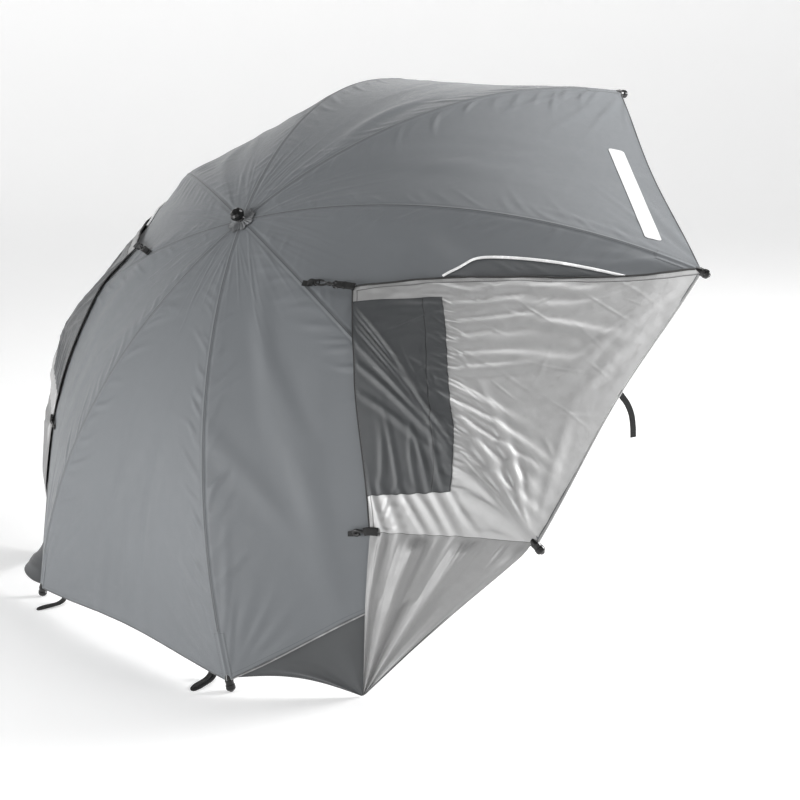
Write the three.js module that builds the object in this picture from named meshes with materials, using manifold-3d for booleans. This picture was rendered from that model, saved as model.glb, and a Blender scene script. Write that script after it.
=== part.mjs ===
// An umbrella beach shelter: an eight-rib umbrella laid over on two rib tips and its pole,
// with a side wing at each end of its mouth, folded back over the cover and clipped there.
// Millimetres, +Z up. The origin is on the ground under the middle of the shelter, and
// its open mouth looks along -Y. The umbrella is built in its own frame, with Z along the
// pole and zero at the crown, and that frame is leaned back into place.
import * as THREE from 'three';
import { mergeVertices } from 'three/addons/utils/BufferGeometryUtils.js';
import Module from 'manifold-3d';

const wasm = await Module();
wasm.setup();

const radians = THREE.MathUtils.degToRad;

// Umbrella
const RIB_COUNT = 8;
const HALF_STEP = Math.PI / RIB_COUNT;
const RIM_RADIUS = 1320; // pole axis to a rib's tip
const CROWN_HEIGHT = 600; // crown above the plane of the rib tips
const EDGE_SHARE = 0.19; // how much of the drop bends in close to the rim
const EDGE_POWER = 4.5;
const TILT = radians(41.8); // pole away from upright
const GAP = 0.3; // between pieces that touch

// Cover
const CLOTH = 3;
const COVER_INNER = 31;
const HEM_INSET = 12; // the hem stops short of the ball on the tip
const COVER_ROWS = { inner: 4, outer: 8 };
const COVER_COLUMNS = 2; // each side of the rib

// Ribs and stretchers
const HUB_PIVOT = new THREE.Vector2(28, -16);
const JOINT_RADIUS = 500; // where a rib's two lengths meet
const RIB_DROP = 9.5; // rib centre under the cover, square to it
const TIP_DROP = 7;
const TIP_BALL = 10;
const RIB_WIDTH = 6;
const RIB_HEIGHT = 8;
const ROD_RADIUS = 3;
const EYE_RADIUS = 5;
const EYE_WIDTH = 5;
const PIN_HOLE = 1.6;
const BRACKET = { back: 34, front: 8, below: 20, above: 4, sheet: 2.5 };
const STRETCHER_PIVOT = { back: 18, below: 14 };
const RUNNER_PIVOT = new THREE.Vector2(28, -300);

// Pole
const POLE_RADIUS = 16;
const POLE_BORE = 14;
const UPPER_TOP = -30.3;
const UPPER_BOTTOM = -1100;
const LOWER_RADIUS = 12.5;
const LOWER_TOP = -950;
const SPIKE_LENGTH = 150;
const SPIKE_TIP_CLEARANCE = 2;

// Wings and skirts, in the umbrella's frame: across, down the back, and above the cover
const WING_OFFSET = 13;
const WING_INSET = 36; // its corners stay clear of the balls on the tips
const WING_TOP_CORNER = [-534, 113];
const WING_CLIP_POINT = [-812, 690];
const WING_FREE_EDGE = [[-1116, -362], [-972, -219], [-691, -4], WING_TOP_CORNER,
  [-633, 279], [-683, 388], [-767, 563], WING_CLIP_POINT];
const WING_GROUND_POINT = [-800, 622]; // across and back, on the ground
const FOOT_OUTSIDE = [-26, 60]; // the wing's foot comes down outside the skirt
const PEG_LOOP_ALONG = 100; // from the tip, along the hem
const WING_ROWS = 3;
const WING_TURNS = [-109, -103, -96, -89, -82, -76, -67.5, -60, -53, -50.5]; // round from the back

const colours = {
  cover: { color: 0x8b8f94, roughness: 0.7, metalness: 0 },
  lining: { color: 0xd5d8db, roughness: 0.35, metalness: 0.4 },
  skirt: { color: 0x4d5156, roughness: 0.75, metalness: 0 },
  webbing: { color: 0x1b1c1e, roughness: 0.85, metalness: 0 },
  plastic: { color: 0x151617, roughness: 0.4, metalness: 0 },
  gloss: { color: 0x0d0e0f, roughness: 0.15, metalness: 0 },
  steel: { color: 0x9fa3a8, roughness: 0.35, metalness: 0.9 },
  painted: { color: 0xc9ccd0, roughness: 0.4, metalness: 0.3 },
  rod: { color: 0x2a2b2d, roughness: 0.45, metalness: 0 },
};

// ---- Solids ----

// A closed body from points and faces, turned the right way out.
function closedBody(points, faces) {
  let volume = 0;
  for (const [a, b, c] of faces) {
    volume += points[a].dot(new THREE.Vector3().crossVectors(points[b], points[c]));
  }
  const order = volume < 0 ? faces.map(([a, b, c]) => [a, c, b]) : faces;
  const geometry = new THREE.BufferGeometry().setFromPoints(points);
  geometry.setIndex(order.flat());
  return geometry;
}

// The same body with one vertex for each place and no triangle without an area, and
// moved by place if that is given.
function welded(geometry, place = (point) => point) {
  const bare = geometry.clone();
  bare.deleteAttribute('normal');
  bare.deleteAttribute('uv');
  const merged = mergeVertices(bare, 1e-3);
  const source = merged.attributes.position;
  const points = [];
  for (let i = 0; i < source.count; i += 1) {
    points.push(place(new THREE.Vector3().fromBufferAttribute(source, i)));
  }
  const index = merged.index.array;
  const faces = [];
  for (let i = 0; i < index.length; i += 3) {
    const [a, b, c] = index.slice(i, i + 3);
    if (a !== b && b !== c && c !== a) faces.push([a, b, c]);
  }
  return closedBody(points, faces);
}

function solid(geometry) {
  const merged = welded(geometry);
  return new wasm.Manifold(new wasm.Mesh({
    numProp: 3,
    vertProperties: new Float32Array(merged.attributes.position.array),
    triVerts: new Uint32Array(merged.index.array),
  }));
}

function joinAndCut(joined, cut = []) {
  let body = solid(joined[0]);
  for (const geometry of joined.slice(1)) body = body.add(solid(geometry));
  for (const geometry of cut) body = body.subtract(solid(geometry));
  const mesh = body.getMesh();
  const geometry = new THREE.BufferGeometry();
  geometry.setAttribute('position', new THREE.BufferAttribute(mesh.vertProperties, 3));
  geometry.setIndex(new THREE.BufferAttribute(mesh.triVerts, 1));
  return geometry;
}

// A body of revolution about the pole from a profile of [radius, height] points.
function turned(profile, segments = 16) {
  const points = profile.map(([r, z]) => new THREE.Vector2(r, z));
  return welded(new THREE.LatheGeometry(points, segments).rotateX(Math.PI / 2));
}

function ring(profile, segments) {
  return turned([...profile, profile[0]], segments);
}

// A round bar along X, Y or Z, centred on a point.
function bar(axis, radius, length, [x, y, z], segments = 8) {
  const geometry = new THREE.CylinderGeometry(radius, radius, length, segments);
  if (axis === 'x') geometry.rotateZ(Math.PI / 2);
  if (axis === 'z') geometry.rotateX(Math.PI / 2);
  return geometry.translate(x, y, z);
}

function block([x0, x1], [y0, y1], [z0, z1]) {
  const geometry = new THREE.BoxGeometry(x1 - x0, y1 - y0, z1 - z0);
  return geometry.translate((x0 + x1) / 2, (y0 + y1) / 2, (z0 + z1) / 2);
}

// A section of [across, up] points swept along [radius, height] points of a rib's plane.
function swept(path, section) {
  const points = [];
  path.forEach((here, i) => {
    const before = path[Math.max(i - 1, 0)];
    const after = path[Math.min(i + 1, path.length - 1)];
    const along = after.clone().sub(before).normalize();
    for (const [across, up] of section) {
      points.push(new THREE.Vector3(here.x - along.y * up, across, here.y + along.x * up));
    }
  });
  const n = section.length;
  const last = (path.length - 1) * n;
  const faces = [];
  for (let i = 0; i < path.length - 1; i += 1) {
    for (let j = 0; j < n; j += 1) {
      const a = i * n + j;
      const b = i * n + ((j + 1) % n);
      faces.push([a, b, b + n], [a, b + n, a + n]);
    }
  }
  for (let j = 1; j < n - 1; j += 1) {
    faces.push([0, j + 1, j], [last, last + j, last + j + 1]);
  }
  return closedBody(points, faces);
}

function rectangle(width, height) {
  return [[-width / 2, -height / 2], [width / 2, -height / 2],
    [width / 2, height / 2], [-width / 2, height / 2]];
}

function circle(radius, sides = 6) {
  return Array.from({ length: sides }, (_, i) => {
    const turn = ((i + 0.5) / sides) * 2 * Math.PI;
    return [radius * Math.cos(turn), radius * Math.sin(turn)];
  });
}

// A sheet of cloth with thickness: point(i, j, side) is on its outer (0) or inner (1) face.
function sheet(rows, columns, point) {
  const points = [];
  const faces = [];
  const at = (i, j, side) => (i * (columns + 1) + j) * 2 + side;
  for (let i = 0; i <= rows; i += 1) {
    for (let j = 0; j <= columns; j += 1) points.push(point(i, j, 0), point(i, j, 1));
  }
  const quad = (a, b, c, d) => faces.push([a, b, c], [a, c, d]);
  for (let i = 0; i < rows; i += 1) {
    for (let j = 0; j < columns; j += 1) {
      quad(at(i, j, 0), at(i + 1, j, 0), at(i + 1, j + 1, 0), at(i, j + 1, 0));
      quad(at(i, j, 1), at(i, j + 1, 1), at(i + 1, j + 1, 1), at(i + 1, j, 1));
    }
    quad(at(i, 0, 0), at(i, 0, 1), at(i + 1, 0, 1), at(i + 1, 0, 0));
    quad(at(i, columns, 0), at(i + 1, columns, 0), at(i + 1, columns, 1), at(i, columns, 1));
  }
  for (let j = 0; j < columns; j += 1) {
    quad(at(0, j, 0), at(0, j + 1, 0), at(0, j + 1, 1), at(0, j, 1));
    quad(at(rows, j, 0), at(rows, j, 1), at(rows, j + 1, 1), at(rows, j + 1, 0));
  }
  return closedBody(points, faces);
}

function prism(corners, thickness) {
  const normal = new THREE.Vector3()
    .crossVectors(corners[1].clone().sub(corners[0]), corners[2].clone().sub(corners[0]))
    .normalize()
    .multiplyScalar(thickness / 2);
  const n = corners.length;
  const points = [...corners.map((c) => c.clone().add(normal)),
    ...corners.map((c) => c.clone().sub(normal))];
  const faces = [];
  for (let i = 0; i < n; i += 1) {
    const next = (i + 1) % n;
    faces.push([i, i + n, next + n], [i, next + n, next]);
  }
  for (let i = 1; i < n - 1; i += 1) faces.push([0, i, i + 1], [n, n + i + 1, n + i]);
  return closedBody(points, faces);
}

// ---- The umbrella's shape ----

function coverDrop(radius) {
  const share = radius / RIM_RADIUS;
  return CROWN_HEIGHT * (EDGE_SHARE * share ** EDGE_POWER + (1 - EDGE_SHARE) * share ** 2);
}

function coverSlope(radius) {
  return (coverDrop(radius + 1) - coverDrop(radius - 1)) / 2;
}

// The height of the cover over a place in the umbrella's plan: level lines are octagons.
function coverHeight(x, y) {
  const turn = Math.atan2(x, y);
  const panel = Math.round(turn / (2 * HALF_STEP)) * 2 * HALF_STEP;
  const out = Math.hypot(x, y) * Math.cos(turn - panel);
  return -coverDrop(out / Math.cos(HALF_STEP));
}

function ribDrop(radius) {
  const share = THREE.MathUtils.smoothstep(radius, JOINT_RADIUS, RIM_RADIUS);
  return RIB_DROP + (TIP_DROP - RIB_DROP) * share;
}

function ribPoint(radius) {
  const below = ribDrop(radius) * Math.hypot(1, coverSlope(radius));
  return new THREE.Vector2(radius, -coverDrop(radius) - below);
}

// The crown stands where the balls of the two rear tips and the pole's spike meet the ground.
const CROWN_Z = TIP_BALL + RIM_RADIUS * Math.cos(HALF_STEP) * Math.sin(TILT)
  - ribPoint(RIM_RADIUS).y * Math.cos(TILT);
const CROWN_Y = 375.8;
const POLE_LENGTH = CROWN_Z / Math.cos(TILT) - SPIKE_TIP_CLEARANCE;

const JOINT = ribPoint(JOINT_RADIUS);
const JOINT_SLOPE = Math.atan(coverSlope(JOINT_RADIUS));

// A place given along and square to the rib where its bracket is.
function byBracket(along, up) {
  return new THREE.Vector2(along, up).rotateAround(new THREE.Vector2(), -JOINT_SLOPE).add(JOINT);
}

const STRETCHER_TOP = byBracket(-STRETCHER_PIVOT.back, -STRETCHER_PIVOT.below);

// ---- Pieces on a rib, in its plane: X out from the pole, Z along the pole ----

function eye(centre, radius = EYE_RADIUS) {
  return bar('y', radius, EYE_WIDTH, [centre.x, 0, centre.y]);
}

function pin(centre) {
  return bar('y', PIN_HOLE, 40, [centre.x, 0, centre.y], 8);
}

function bracketCheek(side) {
  const { back, front, below, above, sheet: thickness } = BRACKET;
  const inner = RIB_WIDTH / 2 - 0.1;
  const corners = [[-back, -RIB_HEIGHT / 2], [-STRETCHER_PIVOT.back - 6, -below],
    [-STRETCHER_PIVOT.back + 6, -below], [front, -4], [front, above], [-back, above]];
  const outline = corners.map(([along, up]) => {
    const place = byBracket(along, up);
    return new THREE.Vector3(place.x, side * (inner + thickness / 2), place.y);
  });
  return prism(outline, thickness);
}

// Radii spaced evenly from one to another, which the ribs and the cover share.
function stations(count, from, to) {
  return Array.from({ length: count + 1 }, (_, i) => from + ((to - from) * i) / count);
}

function ribInner() {
  const path = [HUB_PIVOT, new THREE.Vector2(52, HUB_PIVOT.y + 3)];
  const along = stations(COVER_ROWS.inner, COVER_INNER, JOINT_RADIUS).slice(1, -1);
  path.push(...along.map(ribPoint), byBracket(-STRETCHER_PIVOT.back + 2, 0));
  const rail = swept(path, rectangle(RIB_WIDTH, RIB_HEIGHT));
  const hubEnd = bar('y', EYE_RADIUS + 1, RIB_WIDTH, [HUB_PIVOT.x, 0, HUB_PIVOT.y]);
  return joinAndCut(
    [rail, hubEnd, bracketCheek(-1), bracketCheek(1)],
    [pin(HUB_PIVOT), pin(JOINT), pin(STRETCHER_TOP)],
  );
}

function ribOuter() {
  const tip = ribPoint(RIM_RADIUS);
  const along = stations(COVER_ROWS.outer, JOINT_RADIUS, RIM_RADIUS - HEM_INSET);
  const path = [...along.map(ribPoint), tip];
  const ball = new THREE.SphereGeometry(TIP_BALL, 8, 6).rotateX(Math.PI / 2);
  return joinAndCut(
    [swept(path, circle(ROD_RADIUS)), eye(JOINT), ball.translate(tip.x, 0, tip.y)],
    [pin(JOINT)],
  );
}

function stretcher() {
  const rail = swept([STRETCHER_TOP, RUNNER_PIVOT], rectangle(EYE_WIDTH, RIB_HEIGHT - 1));
  return joinAndCut(
    [rail, eye(STRETCHER_TOP), eye(RUNNER_PIVOT)],
    [pin(STRETCHER_TOP), pin(RUNNER_PIVOT)],
  );
}

// Half the cover's width at a place on it, measured from the rib, with the inset of its seam.
function coverPoint(radius, across, side) {
  const slope = coverSlope(radius);
  const drop = coverDrop(radius) + side * CLOTH * Math.hypot(1, slope);
  const halfWidth = radius * Math.cos(HALF_STEP) * Math.sin(HALF_STEP);
  const inward = 1 - Math.abs(across) * Math.sin(HALF_STEP) ** 2;
  const width = Math.sign(across) * Math.max(Math.abs(across) * halfWidth - GAP * Math.abs(across), 0);
  return new THREE.Vector3(radius * inward, width, -drop);
}

// The line across a gore above its rib's joint, square to the rib.
function jointLine(across) {
  return JOINT_RADIUS / (1 - Math.abs(across) * Math.sin(HALF_STEP) ** 2);
}

function gore(rows, startAt, endAt) {
  const columns = 2 * COVER_COLUMNS;
  return sheet(rows, columns, (i, j, side) => {
    const across = (j - COVER_COLUMNS) / COVER_COLUMNS;
    return coverPoint(stations(rows, startAt(across), endAt(across))[i], across, side);
  });
}

// ---- Pieces on the pole ----

function aroundHub(make) {
  return Array.from({ length: RIB_COUNT }, (_, i) => {
    const turn = (2 * i + 1) * HALF_STEP;
    return make().rotateZ(Math.PI / 2 - turn);
  });
}

function hub() {
  const body = turned([[0, -4], [34, -4], [42, -9], [42, -25], [37, -30], [13.6, -30],
    [13.6, -70], [0, -70]]);
  const slots = aroundHub(() => block([20, 60], [-3.6, 3.6], [-32, -2]));
  return joinAndCut([body], [bar('z', 5.4, 30, [0, 0, -16]), ...slots]);
}

function finial() {
  const knob = turned([[0, -26], [5, -26], [5, 4], [13, 4], [15, 8], [12, 13], [21, 20],
    [23.5, 27], [23, 35], [18, 42], [9, 46], [0, 47]], 20);
  const flutes = Array.from({ length: 10 }, (_, i) => {
    const turn = ((i + 0.5) / 10) * 2 * Math.PI;
    return bar('z', 4, 60, [25.5 * Math.cos(turn), 25.5 * Math.sin(turn), 46], 6);
  });
  return joinAndCut([knob], flutes);
}

function crownRosette() {
  return ring([[6, 0.4], [52, 0.4], [52, 2], [16, 3.7], [6, 3.7]], 24);
}

function runner() {
  const z = RUNNER_PIVOT.y;
  const body = ring([[16.4, z + 12], [21, z + 12], [21, z + 7], [37, z + 7], [37, z - 7],
    [21.5, z - 7], [21.5, z - 62], [25, z - 66], [25, z - 76], [16.4, z - 76]]);
  const slots = aroundHub(() => block([22.2, 60], [-3.6, 3.6], [z - 8, z + 8]));
  return joinAndCut([body], [...slots, bar('y', 5.4, 12, [0, -20, z - 34])]);
}

function runnerButton() {
  return bar('y', 5, 6, [0, -22, RUNNER_PIVOT.y - 34]);
}

function poleUpper() {
  return ring([[POLE_BORE, UPPER_TOP], [POLE_RADIUS, UPPER_TOP],
    [POLE_RADIUS, UPPER_BOTTOM], [POLE_BORE, UPPER_BOTTOM]]);
}

function poleLower() {
  const bottom = -POLE_LENGTH + SPIKE_LENGTH;
  return ring([[LOWER_RADIUS - 1.5, LOWER_TOP], [LOWER_RADIUS, LOWER_TOP],
    [LOWER_RADIUS, bottom], [LOWER_RADIUS - 1.5, bottom]]);
}

function groundSpike() {
  const tip = -POLE_LENGTH;
  const top = tip + SPIKE_LENGTH;
  const profile = [[0, top + 40], [LOWER_RADIUS - 1.8, top + 40], [LOWER_RADIUS - 1.8, top - GAP],
    [15, top - GAP], [15, top - 10], [9, top - 14]];
  for (const turnHeight of [112, 88, 64]) {
    profile.push([8, tip + turnHeight + 5], [13, tip + turnHeight], [7.5, tip + turnHeight - 5]);
  }
  profile.push([5, tip + 40], [1, tip + 0.4], [0, tip]);
  return turned(profile, 16);
}

function clampCollar() {
  const z = UPPER_BOTTOM;
  const body = ring([[POLE_RADIUS + GAP, z + 26], [21, z + 26], [22.5, z + 20], [22.5, z - 26],
    [19, z - 32], [LOWER_RADIUS + 0.4, z - 32], [LOWER_RADIUS + 0.4, z - GAP],
    [POLE_RADIUS + GAP, z - GAP]]);
  const boss = bar('y', 9, 16, [0, -24, z - 16]);
  const bore = bar('z', LOWER_RADIUS + 0.4, 80, [0, 0, z - 16], 24);
  return joinAndCut([body, boss], [bore, bar('y', 4.4, 40, [0, -30, z - 16])]);
}

function clampScrew() {
  const z = UPPER_BOTTOM - 16;
  const shank = bar('y', 4, 30, [0, -28.4, z]);
  const wings = block([-16, 16], [-52, -41], [z - 2.5, z + 2.5]);
  return joinAndCut([shank, bar('y', 8, 9, [0, -38, z]), wings]);
}

// ---- Wings, skirts and their fittings, on the side where X is negative ----

function rimCorner(index, inset = 0) {
  const turn = (2 * index + 1) * HALF_STEP;
  const radius = RIM_RADIUS - inset;
  return [radius * Math.sin(turn), radius * Math.cos(turn)];
}

const [UPPER_RIM, LOWER_RIM, REAR_RIM] = [5, 6, 7].map((index) => rimCorner(index, WING_INSET));

function between([ax, ay], [bx, by], share) {
  return [ax + (bx - ax) * share, ay + (by - ay) * share];
}

// How far out a line of plan points is, looking from the pole in one direction.
function reach(line, turn) {
  for (let i = 0; i < line.length - 1; i += 1) {
    const [a, b] = [line[i], line[i + 1]];
    const offLine = ([x, y]) => x * Math.cos(turn) - y * Math.sin(turn);
    const share = offLine(a) / (offLine(a) - offLine(b));
    if (share >= 0 && share <= 1) return Math.hypot(...between(a, b, share));
  }
  throw new Error(`nothing at ${turn}`);
}

function onCover([x, y], lift) {
  return new THREE.Vector3(x, y, coverHeight(x, y) + lift);
}

// Folded back, the wing lies on the cover from the rim to its free edge.
function wing() {
  const free = [UPPER_RIM, ...WING_FREE_EDGE];
  const rim = [UPPER_RIM, LOWER_RIM, WING_CLIP_POINT];
  return sheet(WING_ROWS, WING_TURNS.length - 1, (i, j, side) => {
    const turn = radians(WING_TURNS[j]);
    const radius = reach(free, turn) + ((reach(rim, turn) - reach(free, turn)) * i) / WING_ROWS;
    const lift = WING_OFFSET + (1 - side) * CLOTH;
    return onCover([radius * Math.sin(turn), radius * Math.cos(turn)], lift);
  });
}

const umbrella = new THREE.Group();
umbrella.position.set(0, CROWN_Y, CROWN_Z);
umbrella.rotation.x = -TILT;
umbrella.updateMatrixWorld(true);

function fromGround(x, y, z) {
  return umbrella.worldToLocal(new THREE.Vector3(x, y, z));
}

function toGround(point) {
  return umbrella.localToWorld(point.clone());
}

function wingFoot() {
  const rim = onCover(between(LOWER_RIM, WING_CLIP_POINT, 0.03), WING_OFFSET + 2);
  const clip = onCover(between(WING_CLIP_POINT, REAR_RIM, 0.02), WING_OFFSET + 14);
  const [x, y] = WING_GROUND_POINT;
  const ground = fromGround(x + FOOT_OUTSIDE[0], y + FOOT_OUTSIDE[1], 3);
  const drop = toGround(rim);
  drop.z -= 12;
  const clipLow = toGround(clip);
  clipLow.z -= 10;
  return prism([umbrella.worldToLocal(drop), umbrella.worldToLocal(clipLow), ground], CLOTH);
}

function skirt() {
  const rear = rimCorner(7, HEM_INSET - 8);
  const side = rimCorner(6, HEM_INSET - 8);
  const low = toGround(onCover(between(rear, side, 0.05), 0));
  const high = toGround(onCover(between(rear, side, 0.94), 0));
  const [x, y] = WING_GROUND_POINT;
  return prism([
    fromGround(low.x, low.y, low.z - 6),
    fromGround(high.x, high.y, high.z - 6),
    fromGround(x, y, CLOTH / 2),
  ], CLOTH);
}

function wingClip() {
  const start = onCover([-452, 168], WING_OFFSET);
  const end = onCover(between(WING_TOP_CORNER, UPPER_RIM, -0.02), WING_OFFSET);
  const middle = start.clone().lerp(end, 0.5);
  const geometry = new THREE.BoxGeometry(start.distanceTo(end) - 6, 12, 6);
  const turn = new THREE.Quaternion().setFromUnitVectors(
    new THREE.Vector3(1, 0, 0),
    end.clone().sub(start).normalize(),
  );
  return geometry.applyQuaternion(turn).translate(middle.x, middle.y, middle.z + 4);
}

function pegLoop() {
  const tip = toGround(onCover(rimCorner(7), 0));
  const outer = new THREE.Shape();
  outer.moveTo(-12, 0);
  outer.lineTo(12, 0);
  outer.lineTo(12, 50);
  outer.absarc(0, 50, 12, 0, Math.PI, false);
  const hole = new THREE.Path();
  hole.moveTo(-7, 16);
  hole.lineTo(7, 16);
  hole.lineTo(7, 50);
  hole.absarc(0, 50, 7, 0, Math.PI, false);
  outer.holes.push(hole);
  const strap = new THREE.ExtrudeGeometry(outer, { depth: 2.5, bevelEnabled: false, curveSegments: 6 });
  strap.rotateZ(radians(12)).translate(tip.x + PEG_LOOP_ALONG, tip.y + 4, 0.2);
  return strap.applyMatrix4(umbrella.matrixWorld.clone().invert());
}

// ---- Assembly ----

function add(parent, name, geometry, colour) {
  const mesh = new THREE.Mesh(geometry, new THREE.MeshStandardMaterial(colours[colour]));
  mesh.name = name;
  parent.add(mesh);
}

function addPair(name, make, colour) {
  const acrossTheMiddle = new THREE.Vector3(-1, 1, 1);
  add(umbrella, `${name}_right`, welded(make()), colour);
  add(umbrella, `${name}_left`, welded(make(), (point) => point.multiply(acrossTheMiddle)), colour);
}

add(umbrella, 'pole_upper', poleUpper(), 'painted');
add(umbrella, 'pole_lower', poleLower(), 'painted');
add(umbrella, 'ground_spike', groundSpike(), 'plastic');
add(umbrella, 'clamp_collar', clampCollar(), 'plastic');
add(umbrella, 'clamp_screw', clampScrew(), 'gloss');
add(umbrella, 'hub', hub(), 'plastic');
add(umbrella, 'finial', finial(), 'gloss');
add(umbrella, 'crown_rosette', crownRosette(), 'skirt');
add(umbrella, 'runner', runner(), 'plastic');
add(umbrella, 'runner_button', runnerButton(), 'gloss');

for (let rib = 1; rib <= RIB_COUNT; rib += 1) {
  const spoke = new THREE.Group();
  spoke.rotation.z = Math.PI / 2 - (2 * rib - 1) * HALF_STEP;
  umbrella.add(spoke);
  add(spoke, `rib_inner_${rib}`, ribInner(), 'steel');
  add(spoke, `rib_outer_${rib}`, ribOuter(), 'rod');
  add(spoke, `stretcher_${rib}`, stretcher(), 'steel');
  const beforeJoint = (across) => jointLine(across) - GAP / 2;
  const afterJoint = (across) => jointLine(across) + GAP / 2;
  add(spoke, `gore_inner_${rib}`, gore(COVER_ROWS.inner, () => COVER_INNER, beforeJoint), 'cover');
  add(spoke, `gore_outer_${rib}`, gore(COVER_ROWS.outer, afterJoint, () => RIM_RADIUS - HEM_INSET), 'cover');
}

addPair('wing', wing, 'lining');
addPair('wing_foot', wingFoot, 'lining');
addPair('skirt', skirt, 'skirt');
addPair('wing_clip', wingClip, 'webbing');
addPair('peg_loop', pegLoop, 'webbing');

export default umbrella;
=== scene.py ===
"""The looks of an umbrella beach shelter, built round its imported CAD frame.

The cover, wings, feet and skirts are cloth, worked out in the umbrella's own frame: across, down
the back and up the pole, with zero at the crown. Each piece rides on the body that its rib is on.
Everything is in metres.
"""

import math

import bpy
import numpy as np
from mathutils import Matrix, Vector


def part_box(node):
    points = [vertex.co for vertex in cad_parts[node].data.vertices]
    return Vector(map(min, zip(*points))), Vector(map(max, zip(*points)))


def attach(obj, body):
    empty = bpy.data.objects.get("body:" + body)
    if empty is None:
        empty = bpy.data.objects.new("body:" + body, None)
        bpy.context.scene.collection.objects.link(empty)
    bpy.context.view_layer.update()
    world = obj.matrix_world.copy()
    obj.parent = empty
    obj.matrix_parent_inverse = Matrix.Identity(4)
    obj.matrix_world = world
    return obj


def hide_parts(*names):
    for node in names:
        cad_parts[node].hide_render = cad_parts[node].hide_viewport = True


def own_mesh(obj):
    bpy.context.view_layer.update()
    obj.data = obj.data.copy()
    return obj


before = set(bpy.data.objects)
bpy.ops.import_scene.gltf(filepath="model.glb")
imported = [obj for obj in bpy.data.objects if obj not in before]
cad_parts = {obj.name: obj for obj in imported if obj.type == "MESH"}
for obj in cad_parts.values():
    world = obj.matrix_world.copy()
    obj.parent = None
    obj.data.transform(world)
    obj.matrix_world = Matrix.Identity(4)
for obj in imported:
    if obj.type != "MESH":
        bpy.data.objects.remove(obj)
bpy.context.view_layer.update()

# ---- Driving dimensions, as in the CAD ----

RIBS = 8
HALF_STEP = math.pi / RIBS
RIM = 1.32
CROWN_HEIGHT = 0.6
EDGE_SHARE = 0.19
EDGE_POWER = 4.5
TILT = math.radians(41.8)
HEM_INSET = 0.012
COVER_INNER = 0.031
JOINT = 0.5
RIB_DROP = 0.0095
TIP_DROP = 0.007
TIP_BALL = 0.010
CROWN_BACK = 0.3758
HALF_WIDTH = math.cos(HALF_STEP) * math.sin(HALF_STEP)
INWARD = math.sin(HALF_STEP) ** 2

# ---- Driving dimensions of the cloth ----

CLOTH = 0.0008
SAG = 0.007
HEM = 0.014
WING_LIFT = 0.0125
RIM_PULL = 0.016
STRIP_WIDTH = 0.056
WING_TOP_CORNER = (-0.534, 0.113)
WING_CLIP = (-0.812, 0.690)
WING_FREE_EDGE = [(-1.116, -0.362), (-0.972, -0.219), (-0.691, -0.004), WING_TOP_CORNER,
                  (-0.633, 0.279), (-0.683, 0.388), (-0.767, 0.563), WING_CLIP]
GROUND_POINT = (-0.803, 0.630)
LEFT_SLACK = 0.085
OVER_RIM = 0.014  # how far the foot stands off the rim that it passes over
GROUND_GAP = 0.0015
WEAVE_PITCH, STITCH_PITCH = 0.0011, 0.0038
SEAM_HALF, STITCH_HALF = 0.0021, 0.0009
SHARP_ANGLE, CAD_SHARP_ANGLE = 38, 35
SLOPE_SHORTENING = 0.68  # of a width up the cover's slope, seen in plan near the rim
SIDES = ("right", "left")

rng = np.random.default_rng(7)


# ---- The umbrella's frame ----

def cover_drop(radius):
    share = radius / RIM
    return CROWN_HEIGHT * (EDGE_SHARE * share ** EDGE_POWER + (1 - EDGE_SHARE) * share ** 2)


def cover_slope(radius):
    return (cover_drop(radius + 1e-3) - cover_drop(radius - 1e-3)) / 2e-3


def rib_point(radius):
    """Radius and height of the rib's centre line under the cover."""
    share = np.clip((radius - JOINT) / (RIM - JOINT), 0, 1)
    below = RIB_DROP + (TIP_DROP - RIB_DROP) * share * share * (3 - 2 * share)
    return np.array([radius, -cover_drop(radius) - below * math.hypot(1, cover_slope(radius))])


CROWN_UP = (TIP_BALL + RIM * math.cos(HALF_STEP) * math.sin(TILT)
            - rib_point(RIM)[1] * math.cos(TILT))
CROWN = np.array([0, CROWN_BACK, CROWN_UP])
AXES = np.array([[1, 0, 0],
                 [0, math.cos(TILT), -math.sin(TILT)],
                 [0, math.sin(TILT), math.cos(TILT)]])
POLE_UP = tuple(AXES[2])


def to_row(points):
    return np.asarray(points, float) @ AXES + CROWN


def to_umbrella(points):
    return (np.asarray(points, float) - CROWN) @ AXES.T


def rib_turn(rib):
    return (2 * rib - 1) * HALF_STEP


def spoke(rib, out, aside, height):
    """A place out along a rib, to one side of it, and up the pole, in the umbrella's frame."""
    turn = rib_turn(rib)
    x = out * math.sin(turn) - aside * math.cos(turn)
    y = out * math.cos(turn) + aside * math.sin(turn)
    return np.stack(np.broadcast_arrays(x, y, height), -1)


def bearing(turn):
    """A unit plan vector, turned so far from the back."""
    return np.array([math.sin(turn), math.cos(turn)])


def plan(share, degrees):
    """A plan point from the share of the rim's octagon it is on and its bearing from the back."""
    turn = math.radians(degrees)
    inside = turn - round(turn / (2 * HALF_STEP)) * 2 * HALF_STEP
    out = share * RIM * math.cos(HALF_STEP) / math.cos(inside)
    return bearing(turn) * out


def on_octagon(x, y):
    """The rib radius of the level line through a plan point, and its place across its panel."""
    turn = np.arctan2(x, y)
    inside = turn - np.round(turn / (2 * HALF_STEP)) * 2 * HALF_STEP
    out = np.hypot(x, y) * np.cos(inside)
    return out / math.cos(HALF_STEP), np.tan(inside) / math.tan(HALF_STEP)


def smooth(low, high, value):
    t = np.clip((np.asarray(value, float) - low) / (high - low), 0, 1)
    return t * t * (3 - 2 * t)


# ---- Creases ----

def crease(place, heading, length, width, height, bend):
    place, heading = np.asarray(place, float), np.asarray(heading, float)
    return place, heading / np.linalg.norm(heading), length, width, height, bend


def drawn(value):
    return rng.uniform(*value) if isinstance(value, tuple) else value


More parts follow.
